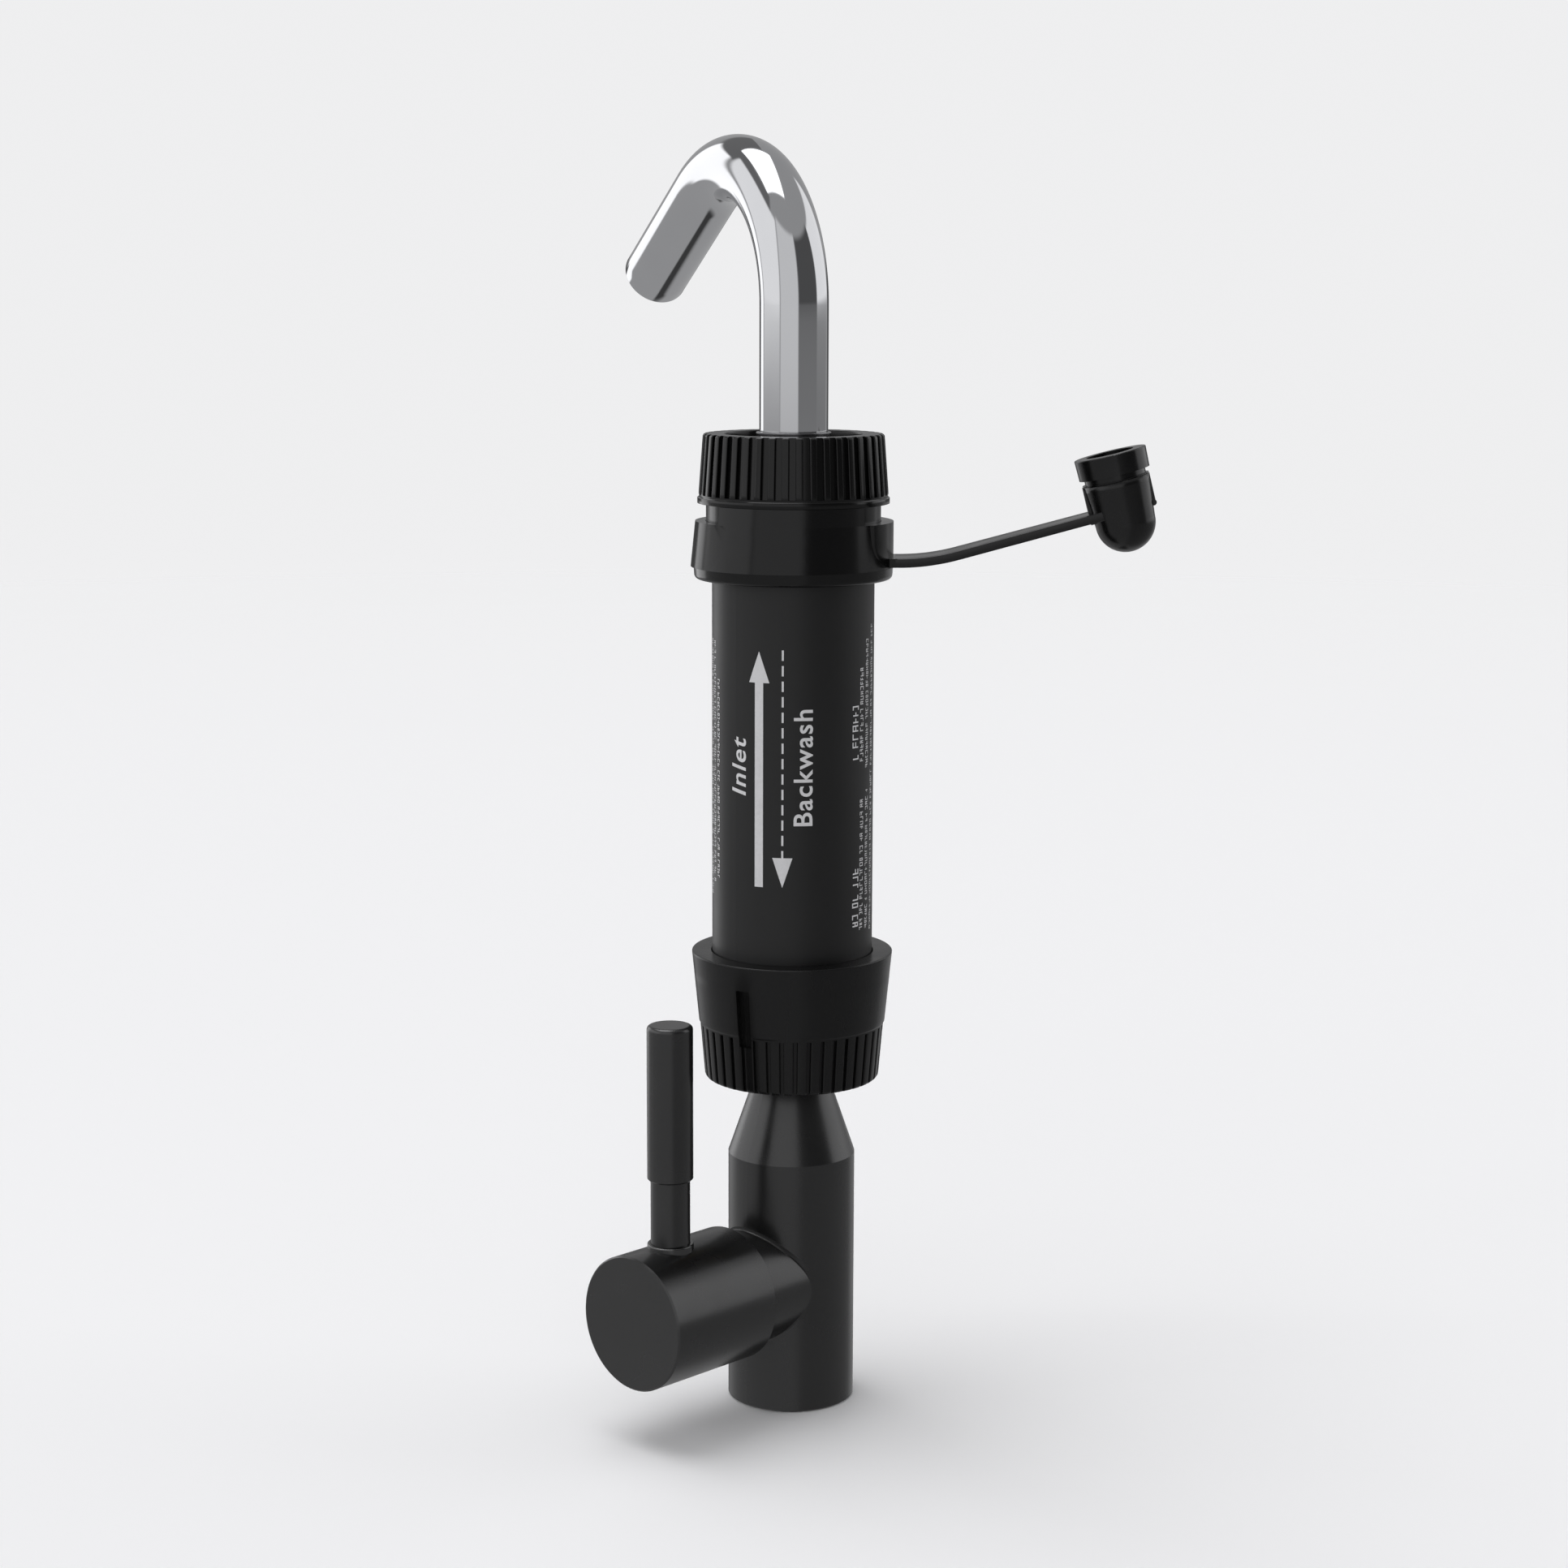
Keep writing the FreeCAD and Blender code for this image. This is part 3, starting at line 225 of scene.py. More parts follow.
def moulded_black(name, tone, rough, level=0.5):
    """Injection-moulded satin plastic: slight flow marks and a fine grain."""
    material, tree, shader = new_material(name)
    where = object_position(tree)
    flow = noise(tree, stretched(tree, where, 1, 1, 0.25), 90, 3)
    grain = noise(tree, where, 3800, 2)
    base = mix_colour(tree, flow, (tone * 0.8,) * 3, (tone * 1.25, tone * 1.25, tone * 1.28))
    speck = dust(tree, where, 150, 0.06)
    colour = mix_colour(tree, speck, base, (0.3, 0.29, 0.27))
    tree.links.new(colour, shader.inputs["Base Color"])
    tree.links.new(remap(tree, flow, 0.3, 0.7, rough - 0.03, rough + 0.05), shader.inputs["Roughness"])
    tree.links.new(bump(tree, grain, 0.12, 0.00001), shader.inputs["Normal"])
    shader.inputs["Specular IOR Level"].default_value = level
    return material


def extruded_black(name):
    """Tube plastic: matt, with the faint lengthwise lines of extrusion."""
    material, tree, shader = new_material(name)
    where = object_position(tree)
    lines = noise(tree, stretched(tree, where, 1, 1, 0.01), 2200, 3)
    cloud = noise(tree, where, 45, 4)
    base = mix_colour(tree, cloud, (0.0068, 0.0068, 0.007), (0.0112, 0.0112, 0.0116))
    speck = dust(tree, where, 150, 0.07)
    colour = mix_colour(tree, speck, base, (0.3, 0.29, 0.27))
    tree.links.new(colour, shader.inputs["Base Color"])
    tree.links.new(remap(tree, cloud, 0.3, 0.7, 0.40, 0.50), shader.inputs["Roughness"])
    tree.links.new(bump(tree, lines, 0.1, 0.00001), shader.inputs["Normal"])
    shader.inputs["Specular IOR Level"].default_value = 0.43
    return material


def soft_rubber(name, tone, rough):
    """Smooth moulded rubber with a dull bloom in places."""
    material, tree, shader = new_material(name)
    where = object_position(tree)
    bloom = noise(tree, where, 140, 5, 0.6)
    grain = noise(tree, where, 3000, 2)
    colour = mix_colour(tree, bloom, (tone * 0.7,) * 3, (tone * 1.5, tone * 1.5, tone * 1.55))
    tree.links.new(colour, shader.inputs["Base Color"])
    tree.links.new(remap(tree, bloom, 0.3, 0.7, rough - 0.05, rough + 0.08), shader.inputs["Roughness"])
    tree.links.new(bump(tree, grain, 0.15, 0.00001), shader.inputs["Normal"])
    shader.inputs["Specular IOR Level"].default_value = 0.42
    return material


def polished_chrome(name):
    """Chrome plate: mirror bright, with hairline polish marks and faint haze."""
    material, tree, shader = new_material(name)
    where = object_position(tree)
    haze = noise(tree, where, 120, 4)
    hair = noise(tree, stretched(tree, where, 1, 1, 0.03), 5200, 2)
    colour = mix_colour(tree, haze, (0.565, 0.57, 0.585), (0.60, 0.605, 0.615))
    tree.links.new(colour, shader.inputs["Base Color"])
    shader.inputs["Metallic"].default_value = 1.0
    tree.links.new(remap(tree, haze, 0.3, 0.7, 0.035, 0.075), shader.inputs["Roughness"])
    tree.links.new(bump(tree, hair, 0.03, 0.000005), shader.inputs["Normal"])
    return material


def worked_metal(name, first, second, rough, scale):
    """Turned or drawn metal: fine tool lines over a slightly uneven tone."""
    material, tree, shader = new_material(name)
    where = object_position(tree)
    tone = noise(tree, where, 150, 4)
    tool = noise(tree, stretched(tree, where, 1, 1, 8), scale, 2)
    tree.links.new(mix_colour(tree, tone, first, second), shader.inputs["Base Color"])
    shader.inputs["Metallic"].default_value = 1.0
    tree.links.new(remap(tree, tone, 0.3, 0.7, rough - 0.05, rough + 0.08), shader.inputs["Roughness"])
    tree.links.new(bump(tree, tool, 0.2, 0.00001), shader.inputs["Normal"])
    return material


def pale_solid(name, first, second, rough, scale):
    """Ceramic, white plastic, resin or fibre: mottled pale stuff with a fine grain."""
    material, tree, shader = new_material(name)
    where = object_position(tree)
    mottle = noise(tree, where, scale, 5)
    grain = noise(tree, where, scale * 12, 2)
    tree.links.new(mix_colour(tree, mottle, first, second), shader.inputs["Base Color"])
    tree.links.new(remap(tree, mottle, 0.3, 0.7, rough - 0.05, rough + 0.05), shader.inputs["Roughness"])
    tree.links.new(bump(tree, grain, 0.15, 0.00001), shader.inputs["Normal"])
    return material


MATERIALS = {
    "painted_metal_black": coated_black("powder_coat", 0.006, 0.27, 0.85),
    "painted_metal_satin": worked_metal("satin_coat_worn", (0.07,) * 3, (0.17,) * 3, 0.24, 1200),
    "black_plastic": moulded_black("moulded_plastic", 0.0016, 0.17, 0.36),
    "tube_plastic": extruded_black("tube_plastic"),
    "soft_rubber": soft_rubber("soft_rubber", 0.003, 0.22),
    "seal_rubber": soft_rubber("seal_rubber", 0.010, 0.40),
    "chrome": polished_chrome("polished_chrome"),
    "brass": worked_metal("turned_brass", (0.55, 0.38, 0.15), (0.72, 0.53, 0.25), 0.3, 900),
    "ceramic_disc": pale_solid("ceramic", (0.78, 0.77, 0.73), (0.9, 0.89, 0.86), 0.25, 300),
    "spring_steel": worked_metal("stainless_steel", (0.42, 0.42, 0.43), (0.58, 0.58, 0.6), 0.28, 1500),
    "slip_plastic": pale_solid("slip_plastic", (0.72, 0.72, 0.68), (0.85, 0.85, 0.82), 0.35, 200),
    "membrane": pale_solid("fibre_membrane", (0.8, 0.79, 0.74), (0.9, 0.89, 0.86), 0.7, 900),
    "potting_resin": pale_solid("potting_resin", (0.55, 0.45, 0.25), (0.75, 0.66, 0.45), 0.2, 150),
}

NUT_PLASTIC = moulded_black("moulded_plastic_matt", 0.0055, 0.26, 0.30)
# finishes of single nodes, where their slot's finish would not do; the valve's axis is the hub's
hub_low, hub_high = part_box("handle_hub")
OWN_FINISH = {
    "spout_ferrule": worked_metal("ferrule_metal", (0.10, 0.10, 0.104), (0.20, 0.20, 0.205), 0.22, 1500),
    "valve_body": body_coat((hub_low[2] + hub_high[2]) / 2, "powder_coat_body", 0.006, 0.27, 0.85),
}

SLOT_OF = {part["node"]: part["material_slot"] for part in frame["record"]["subparts"]}
for node_name, node_object in frame["nodes"].items():
    node_object.data.materials.clear()
    finish = OWN_FINISH.get(node_name, MATERIALS[SLOT_OF[node_name]])
    node_object.data.materials.append(finish)


# ---- fine meshes


SPOUT_AZIMUTH = 249.7
TETHER_AZIMUTH = 132.4

# ribs of both nuts
RIB_COUNT = 42
RIB_EDGE = 0.22
GROOVE_DEPTH = 0.75

# spout
SPOUT_R = 6.35
SPOUT_BORE_R = 5.35
SPOUT_FOOT_Z = 177.8
BEND_Z = 208.1
BEND_R = 25.2
BEND_ANGLE = math.radians(122.8)
SPOUT_END = 29.9
SPOUT_LIP = 0.3

# tether, in the upright plane of the tether
STRAP_THICKNESS = 1.70
STRAP_ROOT = (17.0, 10.55)
STRAP_TIP = (61.3, 8.05)
STRAP_Z = 161.3
STRAP_ARC_START = 19.5
STRAP_ARC_R = 41.3
STRAP_RISE = math.radians(15.3)
STRAP_CORNER = 0.3
COLLAR_CUT_RHO = 19.2
STRAP_ENDS = (18.9, 56.9)
STRAP_JOIN_RHO = 37.75
CAP_CENTRE = (61.3, 168.7)
CAP_TILT = math.radians(14.0)
CAP_CUT = 6.9
# the fine seam round the cap: its edges along the cap's axis, its flanks' run, depth and least radius
SEAM = (7.94, 8.14)
SEAM_FLANK = 0.02
SEAM_DEPTH = 0.35
SEAM_LEAST_R = 5.2

# printed marks on the tube
PRINT_R = 15.125
PRINT_SEED = 11


def mesh_piece(name, points, faces, material, body=None, crease=32):
    """Make a smooth-shaded piece with sharp creases from points in millimetres."""
    mesh = bpy.data.meshes.new(name)
    mesh.from_pydata([Vector(p) * MM for p in points], [], faces)
    mesh.validate()
    work = bmesh.new()
    work.from_mesh(mesh)
    bmesh.ops.recalc_face_normals(work, faces=work.faces)
    work.to_mesh(mesh)
    work.free()
    mesh.materials.append(material)
    mesh.shade_smooth()
    mesh.set_sharp_from_angle(angle=math.radians(crease))
    piece = bpy.data.objects.new(name, mesh)
    bpy.context.collection.objects.link(piece)
    if body:
        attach(piece, body)
    return piece


def grid_faces(rows, columns, wrap_rows=False, wrap_columns=False):
    """Quads joining neighbouring points of a rows by columns grid."""
    faces = []
    for i in range(rows if wrap_rows else rows - 1):
        for j in range(columns if wrap_columns else columns - 1):
            k, m = (i + 1) % rows, (j + 1) % columns
            faces.append((i * columns + j, i * columns + m, k * columns + m, k * columns + j))
    return faces


def arc_points(centre, radius, start, end, count):
    """Points (r, z) along an arc in a profile, angles in degrees."""
    points = []
    for i in range(count + 1):
        angle = math.radians(start + (end - start) * i / count)
        points.append((centre[0] + radius * math.cos(angle), centre[1] + radius * math.sin(angle)))
    return points


def line_points(first, last, count):
    """Points along a straight stretch of a profile, both ends included."""
    steps = [i / count for i in range(count + 1)]
    return [(first[0] + (last[0] - first[0]) * s, first[1] + (last[1] - first[1]) * s) for s in steps]


def groove_share(offset, half_width):
    """How far a groove has sunk at a distance from its middle: 0 on the rib, 1 on its floor."""
    away = abs(offset) - half_width
    if away >= RIB_EDGE:
        return 0.0
    if away >= 0:
        drop = RIB_EDGE - math.sqrt(max(0.0, RIB_EDGE**2 - (RIB_EDGE - away) ** 2))
        return drop / GROOVE_DEPTH
    return 1.0


def rib_columns(width, first_azimuth, radius):
    """Directions of the grid's columns and how far the groove has sunk at each."""
    half = width / 2
    offsets = [half + RIB_EDGE * s for s in (1.0, 0.75, 0.5, 0.25, 0.08, 0.0)]
    offsets += [half - 0.04, half * 0.5]
    steps = [-v for v in offsets] + [0.0] + offsets[::-1]
    pitch = 2 * math.pi / RIB_COUNT
    rib = pitch * radius - width - 2 * RIB_EDGE
    steps += [half + RIB_EDGE + rib * s for s in (0.33, 0.67)]
    columns = []
    for i in range(RIB_COUNT):
        centre = math.radians(first_azimuth) + i * pitch
        for offset in steps:
            columns.append((centre + offset / radius, groove_share(offset, half)))
    return columns


def ribbed_nut(name, profile, columns, rib_line, notch, material, body):
    """Closed turned shape with grooves sunk below rib_line, and one notch if given."""
    (low, low_r), (high, high_r) = rib_line
    columns = sorted(columns)
    points = []
    for r, z in profile:
        floor = low_r + (high_r - low_r) * (z - low) / (high - low) - GROOVE_DEPTH
        for azimuth, share in columns:
            radius = r
            if low <= z <= high:
                radius -= share * max(0.0, r - floor)
            if notch:
                radius = min(radius, notch(azimuth, z))
            points.append((radius * math.cos(azimuth), radius * math.sin(azimuth), z))
    faces = grid_faces(len(profile), len(columns), wrap_rows=True, wrap_columns=True)
    return mesh_piece(name, points, faces, material, body)


def make_lower_nut():
    """Union nut: fine-edged ribs at its foot, plain flared sleeve with a pointer slot."""
    bottom, rib_top, top = 63.15, 73.6, 87.65
    slot_azimuth, slot_half = math.radians(13.9), 1.3 / 17.3
    slot_low, slot_high = 72.0, 83.0

    def slot(azimuth, z):
        if not slot_low <= z <= slot_high or abs(azimuth - slot_azimuth) > slot_half:
            return math.inf
        return 16.3 + (z - slot_low) / (slot_high - slot_low)

    profile = [(9.6, bottom)] + line_points((13.0, bottom), (15.5, bottom), 3)
    profile += arc_points((15.62, bottom + 0.9), 0.9, -88, 3, 7)
    profile += line_points((16.56, 64.4), (17.21, 71.99), 8)
    profile += line_points((17.22, slot_low), (17.37, rib_top), 2) + [(17.38, rib_top + 0.01)]
    profile += [(17.4, 73.85), (17.42, 73.92), (17.58, 74.12), (17.62, 74.24)]
    profile += line_points((17.7, 75.1), (18.49, 82.99), 6) + [(18.49, slot_high), (18.49, 83.01)]
    profile += line_points((18.6, 84.2), (18.92, 87.3), 3)
    profile += arc_points((18.67, top - 0.27), 0.26, 5, 90, 5)
    profile += line_points((18.3, top), (15.5, top), 3)
    profile += arc_points((15.43, top - 0.2), 0.2, 90, 180, 4)
    profile += [(15.22, 84.0), (15.21, 80.8), (15.2, 80.2), (15.2, 73.0), (15.2, 66.2), (9.6, 66.2)]
    columns = rib_columns(0.72, 3.14, 17.2)
    for side in (-1, 1):
        edge = slot_azimuth + side * slot_half
        for nudge in (-0.0004, 0.0004):
            columns.append((edge + nudge, 0.0))
    line = ((bottom - 0.1, 16.45), (rib_top, 17.37))
    piece = ribbed_nut("lower_nut_fine", profile, columns, line, slot, NUT_PLASTIC, "lower_union")
    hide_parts("lower_nut")


def make_upper_nut():
    """Union nut: thin lip, then ribs that run up into the rounded rim."""
    top = 184.75
    profile = [(15.2, 172.0), (17.0, 172.0)] + arc_points((17.75, 172.05), 0.05, -90, 0, 2)
    profile += [(17.8, 172.55)] + arc_points((17.74, 172.99), 0.06, 0, 90, 2)
    profile += [(17.6, 173.08), (17.5, 173.2), (17.48, 173.5), (17.5, 173.59), (17.5, 173.6)]
    profile += [(17.53, 173.66), (17.54, 173.8)]
    profile += line_points((17.52, 174.3), (16.84, 183.6), 10)
    profile += arc_points((16.22, top - 0.56), 0.56, 5, 90, 9)
    profile += line_points((15.9, top), (13.3, top), 3)
    profile += arc_points((13.15, top - 0.3), 0.3, 90, 180, 5)
    profile += [(12.85, 183.0), (12.85, 181.5), (15.2, 181.5), (15.2, 176.0)]
    columns = rib_columns(1.25, 0.25, 17.2)
    line = ((173.6, 17.55), (top + 0.01, 16.76))
    gloss = MATERIALS["black_plastic"]
    piece = ribbed_nut("upper_nut_fine", profile, columns, line, None, gloss, "upper_union")
    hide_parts("upper_nut")


def upright_plane(azimuth, rho, across, z):
    """Point from a distance along a direction, a distance to its left and a height."""
    turn = math.radians(azimuth)
    x = rho * math.cos(turn) - across * math.sin(turn)
    y = rho * math.sin(turn) + across * math.cos(turn)
    return (x, y, z)


def spout_frame(along):
    """Place and direction (outward, up) of the spout's centre line at a length from its foot."""
    rise = BEND_Z - SPOUT_FOOT_Z
    bend = BEND_R * BEND_ANGLE
    if along <= rise:
        return (0.0, SPOUT_FOOT_Z + along), (0.0, 1.0)
    angle = min((along - rise) / BEND_R, BEND_ANGLE)
    rho = BEND_R * (1 - math.cos(angle))
    z = BEND_Z + BEND_R * math.sin(angle)
    way = (math.sin(angle), math.cos(angle))
    extra = max(0.0, along - rise - bend)
    return (rho + way[0] * extra, z + way[1] * extra), way


def make_spout():
    """Bent chromed tube with a softly rolled end."""
    segments = 112
    rise = BEND_Z - SPOUT_FOOT_Z
    total = rise + BEND_R * BEND_ANGLE + SPOUT_END
    stations = [rise * i / 10 for i in range(10)]
    stations += [rise + BEND_R * BEND_ANGLE * i / 72 for i in range(72)]
    stations += [total - SPOUT_END + (SPOUT_END - SPOUT_LIP) * i / 10 for i in range(11)]
    rings = [(s, SPOUT_R) for s in stations]
    wall = (SPOUT_R - SPOUT_BORE_R) / 2
    for i in range(1, 10):
        angle = math.pi * i / 10
        along = total - SPOUT_LIP + SPOUT_LIP * math.sin(angle)
        rings.append((along, SPOUT_R - wall + wall * math.cos(angle)))
    rings += [(s, SPOUT_BORE_R) for s in reversed(stations)]
    points = []
    for along, radius in rings:
        (rho, z), (out, up) = spout_frame(along)
        for i in range(segments):
            turn = 2 * math.pi * i / segments
            side, face = radius * math.sin(turn), radius * math.cos(turn)
            points.append(upright_plane(SPOUT_AZIMUTH, rho + face * up, side, z - face * out))
    faces = grid_faces(len(rings), segments, wrap_rows=True, wrap_columns=True)
    piece = mesh_piece("spout_tube_fine", points, faces, MATERIALS["chrome"], "spout", 50)
    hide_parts("spout_tube")


def strap_place(rho):
    """Height and rise of the tether's centre line at a distance from the main axis."""
    end_rho = STRAP_ARC_START + STRAP_ARC_R * math.sin(STRAP_RISE)
    end_z = STRAP_Z + STRAP_ARC_R * (1 - math.cos(STRAP_RISE))
    if rho <= STRAP_ARC_START:
        return STRAP_Z, 0.0
    if rho < end_rho:
        rise = math.asin((rho - STRAP_ARC_START) / STRAP_ARC_R)
        return STRAP_Z + STRAP_ARC_R * (1 - math.cos(rise)), rise
    return end_z + (rho - end_rho) * math.tan(STRAP_RISE), STRAP_RISE


def strap_section(width):
    """Rounded outline of the strap across its length: (across, upward) points."""
    half_w, half_t = width / 2 - STRAP_CORNER, STRAP_THICKNESS / 2 - STRAP_CORNER
    outline = []
    for sx, sz, start in ((1, 1, 0), (-1, 1, 90), (-1, -1, 180), (1, -1, 270)):
        for x, z in arc_points((sx * half_w, sz * half_t), STRAP_CORNER, start, start + 90, 5):
            outline.append((x, z))
    return outline


def strap_stretch(name, low, high):
    """Mesh of the strap between two distances from the main axis."""
    steps = max(2, round((high - low) / 0.5))
    points = []
    for i in range(steps + 1):
        rho = low + (high - low) * i / steps
        z, rise = strap_place(rho)
        share = (rho - STRAP_ROOT[0]) / (STRAP_TIP[0] - STRAP_ROOT[0])
        outline = strap_section(STRAP_ROOT[1] + (STRAP_TIP[1] - STRAP_ROOT[1]) * share)
        for across, up in outline:
            out = rho - up * math.sin(rise)
            points.append(upright_plane(TETHER_AZIMUTH, out, across, z + up * math.cos(rise)))
    count = len(outline)
    faces = grid_faces(steps + 1, count, wrap_columns=True)
    faces += [tuple(range(count)), tuple(steps * count + i for i in range(count))]
    return mesh_piece(name, points, faces, MATERIALS["soft_rubber"], crease=60)


def cut_copy(name, node, place, way, body):
    """Copy of a CAD node without what lies beyond a plane; it takes the node's place."""
    source = frame["nodes"][node]
    mesh = source.data.copy()
    mesh.transform(source.matrix_world)
    work = bmesh.new()
    work.from_mesh(mesh)
    everything = work.verts[:] + work.edges[:] + work.faces[:]
    bmesh.ops.bisect_plane(work, geom=everything, plane_co=place, plane_no=way, clear_outer=True)
    work.to_mesh(mesh)
    work.free()
    piece = bpy.data.objects.new(name, mesh)
    bpy.context.collection.objects.link(piece)
    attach(piece, body)
    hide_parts(node)
    return piece


def press_seam(piece, centre, axis):
    """Sink a narrow seam round a cap; centre in millimetres, axis up the cap."""
    work = bmesh.new()
    work.from_mesh(piece.data)
    low, high = SEAM
    for height in (low, low + SEAM_FLANK, high - SEAM_FLANK, high):
        everything = work.verts[:] + work.edges[:] + work.faces[:]
        bmesh.ops.bisect_plane(work, geom=everything, plane_co=(centre + axis * height) * MM, plane_no=axis)
    for vertex in work.verts:
        away = vertex.co / MM - centre
        height = away.dot(axis)
        radial = away - axis * height
        if low + SEAM_FLANK / 2 < height < high - SEAM_FLANK / 2 and radial.length > SEAM_LEAST_R:
            vertex.co -= radial.normalized() * SEAM_DEPTH * MM
    work.to_mesh(piece.data)
    work.free()
    piece.data.set_sharp_from_angle(angle=math.radians(32))


def make_tether():
    """One smooth strap, made in two halves, in place of the jointed one; it rises in a soft arc near the
    collar.
    """
    first = strap_stretch("tether_root_half", STRAP_ENDS[0], STRAP_JOIN_RHO)
    second = strap_stretch("tether_tip_half", STRAP_JOIN_RHO, STRAP_ENDS[1])
    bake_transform(first)
    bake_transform(second)
    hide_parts("tether_strap")
    outward = Vector(upright_plane(TETHER_AZIMUTH, 1, 0, 0))
    cut_copy("tether_collar_fine", "tether_collar", outward * COLLAR_CUT_RHO * MM, outward, "collar")
    lean = outward * math.cos(CAP_TILT) + Vector((0, 0, math.sin(CAP_TILT)))
    centre = outward * CAP_CENTRE[0] + Vector((0, 0, CAP_CENTRE[1]))
    cap = cut_copy("dust_cap_fine", "dust_cap", (centre - lean * CAP_CUT) * MM, -lean, "cap")
    press_seam(cap, centre, Vector((0, 0, 1)) * math.cos(CAP_TILT) - outward * math.sin(CAP_TILT))


# ---- printed marks


def ink():
    """Pale grey pad-print ink, thin in places."""
    material, tree, shader = new_material("print_ink")
    where = object_position(tree)
    wear = noise(tree, where, 1400, 4, 0.7)
    cover = noise(tree, where, 260, 3)
    worn = mix_colour(tree, wear, (0.44, 0.44, 0.445), (0.76, 0.76, 0.77))
    tree.links.new(mix_colour(tree, cover, worn, (0.66, 0.66, 0.67)), shader.inputs["Base Color"])
    tree.links.new(remap(tree, wear, 0.3, 0.7, 0.45, 0.6), shader.inputs["Roughness"])
    tree.links.new(bump(tree, wear, 0.1, 0.000005), shader.inputs["Normal"])
    return material


def on_tube(azimuth, z):
    """Point on the printed surface; azimuth in degrees to the right of the camera's side."""
    turn = CAMERA_AZIMUTH + math.radians(azimuth)
    return (PRINT_R * math.cos(turn), PRINT_R * math.sin(turn), z)


def printed_patch(corners_low, corners_high, z_low, z_high, points, faces, rows=1):
    """Add a patch between two heights; each end is given by its two azimuths."""
    count = 8
    start = len(points)
    for j in range(rows + 1):
        left, right = (a + (b - a) * j / rows for a, b in zip(corners_low, corners_high))
        for i in range(count + 1):
            points.append(on_tube(left + (right - left) * i / count, z_low + (z_high - z_low) * j / rows))
    faces += [tuple(start + k for k in face) for face in grid_faces(rows + 1, count + 1)]


# arrows: azimuth of the middle and half-widths in degrees, heights of foot, head's foot and tip
SOLID_ARROW = {"middle": -24.3, "line": 3.15, "head": 7.7, "foot": 102.3, "neck": 140.2, "tip": 145.9}
DASHED_ARROW = {"middle": -7.2, "line": 0.7, "head": 7.1, "foot": 146.3, "neck": 107.9, "tip": 102.4}
ARROW_TIP = 0.1
HEAD_ROWS = 8
DASH = 1.9
DASH_PITCH = 2.85
SHORTEST_DASH = 1.1


def arrow_spans(arrow):
    """Left and right azimuths of an arrow's line, of its head's foot and of its tip."""
    middle = arrow["middle"]
    return [(middle - half, middle + half) for half in (arrow["line"], arrow["head"], ARROW_TIP)]


def make_arrows(material):
    """Solid arrow up the tube and dashed arrow down beside it."""
    points, faces = [], []
    arrow = SOLID_ARROW
    line, head, tip = arrow_spans(arrow)
    printed_patch(line, line, arrow["foot"], arrow["neck"], points, faces)
    printed_patch(head, tip, arrow["neck"], arrow["tip"], points, faces, HEAD_ROWS)
    arrow = DASHED_ARROW
    line, head, tip = arrow_spans(arrow)
    z = arrow["foot"]
    while z > arrow["neck"] + SHORTEST_DASH:
        printed_patch(line, line, max(z - DASH, arrow["neck"]), z, points, faces)
        z -= DASH_PITCH
    printed_patch(tip, head, arrow["tip"], arrow["neck"], points, faces, HEAD_ROWS)
    return mesh_piece("printed_arrows", points, faces, material, "valve")


def cut_rows(flat, count):
    """Cut a flat drawing into level strips, so that it lies on the round tube once wrapped."""
    mesh = bmesh.new()
    mesh.from_mesh(flat)
    low, high = min(v.co.y for v in mesh.verts), max(v.co.y for v in mesh.verts)
    for i in range(1, count):
        level = (0, low + (high - low) * i / count, 0)
        everything = mesh.verts[:] + mesh.edges[:] + mesh.faces[:]
        bmesh.ops.bisect_plane(mesh, geom=everything, plane_co=level, plane_no=(0, 1, 0))
    mesh.to_mesh(flat)
    mesh.free()


def make_word(name, word, z_low, z_high, top_azimuth, foot_azimuth, slant, material):
    """A plain word printed up the tube, its letters' tops to the left."""
    curve = bpy.data.curves.new(name, "FONT")
    curve.body = word
    curve.shear = slant
    curve.offset = 0.013
    curve.space_character = 1.12
    curve.resolution_u = 4
    drawn = bpy.data.objects.new(name + "_outline", curve)
    bpy.context.collection.objects.link(drawn)
    bpy.context.view_layer.update()
    flat = bpy.data.meshes.new_from_object(drawn)
    bpy.data.objects.remove(drawn)
    cut_rows(flat, 12)
    left, right = min(v.co.x for v in flat.vertices), max(v.co.x for v in flat.vertices)
    low, high = 0.0, max(v.co.y for v in flat.vertices)
    points = []
    for vertex in flat.vertices:
        along = (vertex.co.x - left) / (right - left)
        rise = (vertex.co.y - low) / (high - low)
        azimuth = foot_azimuth + (top_azimuth - foot_azimuth) * rise
        points.append(on_tube(azimuth, z_low + (z_high - z_low) * along))
    faces = [tuple(face.vertices) for face in flat.polygons]
    bpy.data.meshes.remove(flat)
    return mesh_piece(name, points, faces, material, "valve")


# small print as rows of plain strokes: (azimuth, from height, to height, size, stroke width)
SMALL_PRINT = (
    (50.6, 93.9, 104.4, 1.5, 0.26),
    (49.9, 125.4, 136.0, 1.5, 0.26),
    (57.6, 93.1, 117.4, 0.95, 0.17),
    (57.2, 124.9, 142.5, 0.95, 0.17),
    (65.0, 93.1, 119.0, 0.9, 0.15),
    (64.6, 123.5, 147.0, 0.9, 0.15),
    (73.5, 92.5, 149.7, 0.9, 0.15),
    (-65.5, 102.6, 139.6, 0.8, 0.15),
    (-72.5, 101.6, 146.6, 0.9, 0.15),
    (-79.0, 99.0, 146.6, 0.9, 0.15),
)


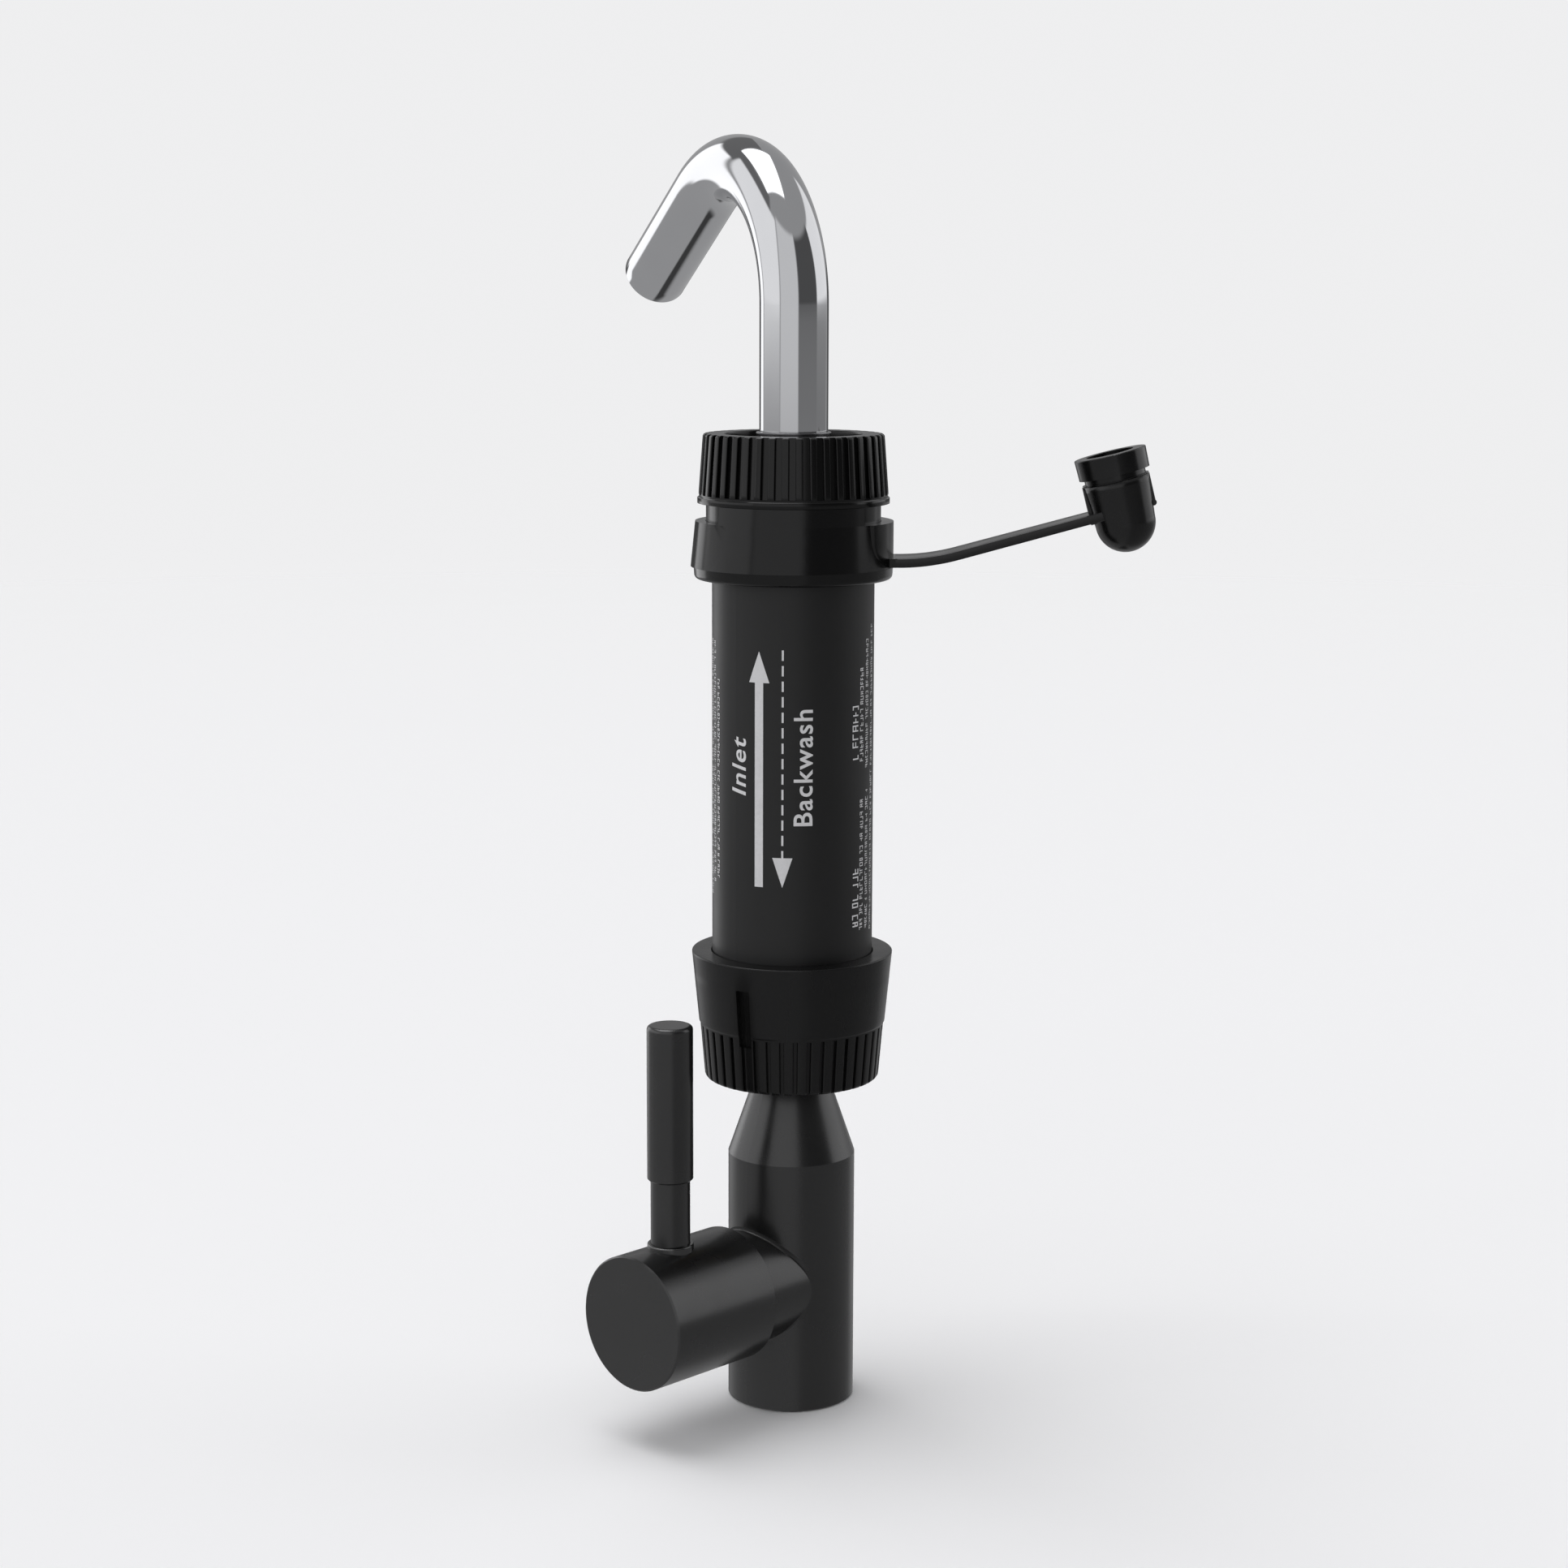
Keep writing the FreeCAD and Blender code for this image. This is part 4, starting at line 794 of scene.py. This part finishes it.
def make_small_print(material):
    """Rows of short strokes that stand for the small print; they spell nothing."""
    chance = random.Random(PRINT_SEED)
    points, faces = [], []
    per_mm = math.degrees(1 / PRINT_R)
    for azimuth, low, high, size, stroke in SMALL_PRINT:
        z = low
        while z < high:
            wide = size * chance.uniform(0.45, 0.8)
            top, foot = azimuth - size * per_mm / 2, azimuth + size * per_mm / 2
            for place in chance.sample((0.0, 0.5, 1.0), chance.choice((1, 2, 2))):
                middle = top + (foot - top) * place
                half = stroke * per_mm / 2
                ends = (middle - half, middle + half)
                printed_patch(ends, ends, z, z + wide, points, faces)
            for place in chance.sample((0.0, 1.0), chance.choice((1, 1, 2))):
                start = z + (wide - stroke) * place
                printed_patch((top, foot), (top, foot), start, start + stroke, points, faces)
            z += wide + size * (0.28 if chance.random() > 0.16 else 0.9)
    return mesh_piece("printed_small_rows", points, faces, material, "valve")


make_lower_nut()
make_upper_nut()
make_spout()
make_tether()
print_ink = ink()
make_arrows(print_ink)
make_word("printed_word_inlet", "Inlet", 119.1, 129.9, -47.4, -35.0, 0.18, print_ink)
make_word("printed_word_backwash", "Backwash", 113.9, 135.4, 0.6, 13.6, 0.0, print_ink)
make_small_print(print_ink)


# ---- studio


# panels of the studio seen from the object: (from azimuth, to azimuth, from elevation, to elevation,
# softness, brightness); degrees, azimuths from the camera's side and positive to its right
PANELS = (
    (15, 135, -90, -1, 4, 0.27),
    (-200, -60, 30, 56, 6, 0.18),
    (-46, 14, -3.5, 45, 5, 0.80),
    (15, 82, -1, 43, 6, 0.10),
    (82, 141, 0.6, 41, 4, 1.12),
    (-120, -49, -1.5, 42, 4, 1.12),
    (-152, -124, -14, 31, 4, 1.60),
    (-190, -144, -5, 4, 4, 0.11),
    (143, 190, -5, 4, 4, 0.11),
    (-171, -160, -31, -4, 6, 0.07),
    (-190, -163, -80, -56, 14, 0.06),
    (164, 190, -80, -56, 14, 0.06),
)
ROOM_LEVEL = 0.40
GROUND_LEVEL = 0.43
BACKDROP = (0.86, 0.86, 0.868)
# the big overhead softbox: its edges as slopes towards the camera and to its right, and its brightness
SOFTBOX_NEAR = (-0.62, 0.28)
SOFTBOX_SIDE = (-0.62, 0.12)
SOFTBOX_LEVEL = 3.2
# where the floor fades into the backdrop: middle of the fade and its width, in metres
FLOOR_FADE_MIDDLE = 1.3
FLOOR_FADE_WIDTH = 2.0


def grey(level):
    return (level, level, level * 1.012)


def studio_world():
    """Photo studio as a surround: wall panels, a dark side, an overhead softbox and an even backdrop."""
    world = bpy.data.worlds.new("studio")
    bpy.context.scene.world = world
    world.use_nodes = True
    tree = world.node_tree
    tree.nodes.clear()
    turned = add_node(tree, "ShaderNodeVectorRotate", rotation_type="Z_AXIS", Angle=-CAMERA_AZIMUTH)
    tree.links.new(tree.nodes.new("ShaderNodeTexCoord").outputs["Generated"], turned.inputs["Vector"])
    split = tree.nodes.new("ShaderNodeSeparateXYZ")
    tree.links.new(turned.outputs["Vector"], split.inputs["Vector"])
    near, side, up = split.outputs
    azimuth = math_node(tree, "DEGREES", math_node(tree, "ARCTAN2", side, near))
    elevation = math_node(tree, "DEGREES", math_node(tree, "ARCSINE", up))
    above = smooth_step(tree, elevation, -1.5, 3)
    colour = mix_colour(tree, above, grey(GROUND_LEVEL), grey(ROOM_LEVEL))
    for low, high, foot, top, softness, level in PANELS:
        mask = math_node(
            tree,
            "MULTIPLY",
            between(tree, azimuth, low, high, softness),
            between(tree, elevation, foot, top, softness),
        )
        colour = mix_colour(tree, mask, colour, grey(level))
    height = math_node(tree, "MAXIMUM", up, 0.01)
    ahead = between(tree, math_node(tree, "DIVIDE", near, height), *SOFTBOX_NEAR, 0.06)
    across = between(tree, math_node(tree, "DIVIDE", side, height), *SOFTBOX_SIDE, 0.06)
    softbox = math_node(tree, "MULTIPLY", ahead, across)
    colour = mix_colour(tree, softbox, colour, grey(SOFTBOX_LEVEL))
    seen = tree.nodes.new("ShaderNodeLightPath").outputs["Is Camera Ray"]
    colour = mix_colour(tree, seen, colour, BACKDROP)
    shader = add_node(tree, "ShaderNodeBackground", Strength=1.0)
    tree.links.new(colour, shader.inputs["Color"])
    output = tree.nodes.new("ShaderNodeOutputWorld")
    tree.links.new(shader.outputs["Background"], output.inputs["Surface"])


def floor():
    """Plain pale floor under the object, fading into the backdrop far away."""
    bpy.ops.mesh.primitive_plane_add(size=12, location=(0, 0, -0.00005))
    plane = bpy.context.object
    plane.name = "studio_floor"
    material, tree, shader = new_material("floor_paint")
    where = object_position(tree)
    shade = noise(tree, where, 3, 2)
    paint = mix_colour(tree, shade, (0.925, 0.925, 0.93), (0.935, 0.935, 0.94))
    tree.links.new(paint, shader.inputs["Base Color"])
    shader.inputs["Roughness"].default_value = 0.9
    shader.inputs["Specular IOR Level"].default_value = 0.1
    distance = add_node(tree, "ShaderNodeVectorMath", operation="LENGTH")
    tree.links.new(where, distance.inputs[0])
    fade = smooth_step(tree, distance.outputs["Value"], FLOOR_FADE_MIDDLE, FLOOR_FADE_WIDTH, falling=True)
    tree.links.new(fade, shader.inputs["Alpha"])
    plane.data.materials.append(material)
    plane.visible_glossy = False


def camera():
    """Camera at the reference view: level track, slight pitch and roll."""
    away = Vector((-math.cos(CAMERA_AZIMUTH), -math.sin(CAMERA_AZIMUTH), 0))
    right = Vector((-math.sin(CAMERA_AZIMUTH), math.cos(CAMERA_AZIMUTH), 0))
    look = away * math.cos(CAMERA_PITCH) - Vector((0, 0, math.sin(CAMERA_PITCH)))
    up = away * math.sin(CAMERA_PITCH) + Vector((0, 0, math.cos(CAMERA_PITCH)))
    cr, sr = math.cos(CAMERA_ROLL), math.sin(CAMERA_ROLL)
    x_axis = right * cr - up * sr
    y_axis = right * sr + up * cr
    place = -away * CAMERA_DISTANCE + right * CAMERA_SIDE + Vector((0, 0, CAMERA_HEIGHT))
    matrix = Matrix((x_axis, y_axis, -look)).transposed().to_4x4()
    matrix.translation = place
    data = bpy.data.cameras.new("view")
    data.lens = CAMERA_LENS
    data.sensor_width = SENSOR
    data.clip_start = 0.01
    data.clip_end = 50
    eye = bpy.data.objects.new("view", data)
    eye.matrix_world = matrix
    bpy.context.collection.objects.link(eye)
    bpy.context.scene.camera = eye


studio_world()
floor()
camera()
bpy.context.scene.view_settings.view_transform = "Standard"
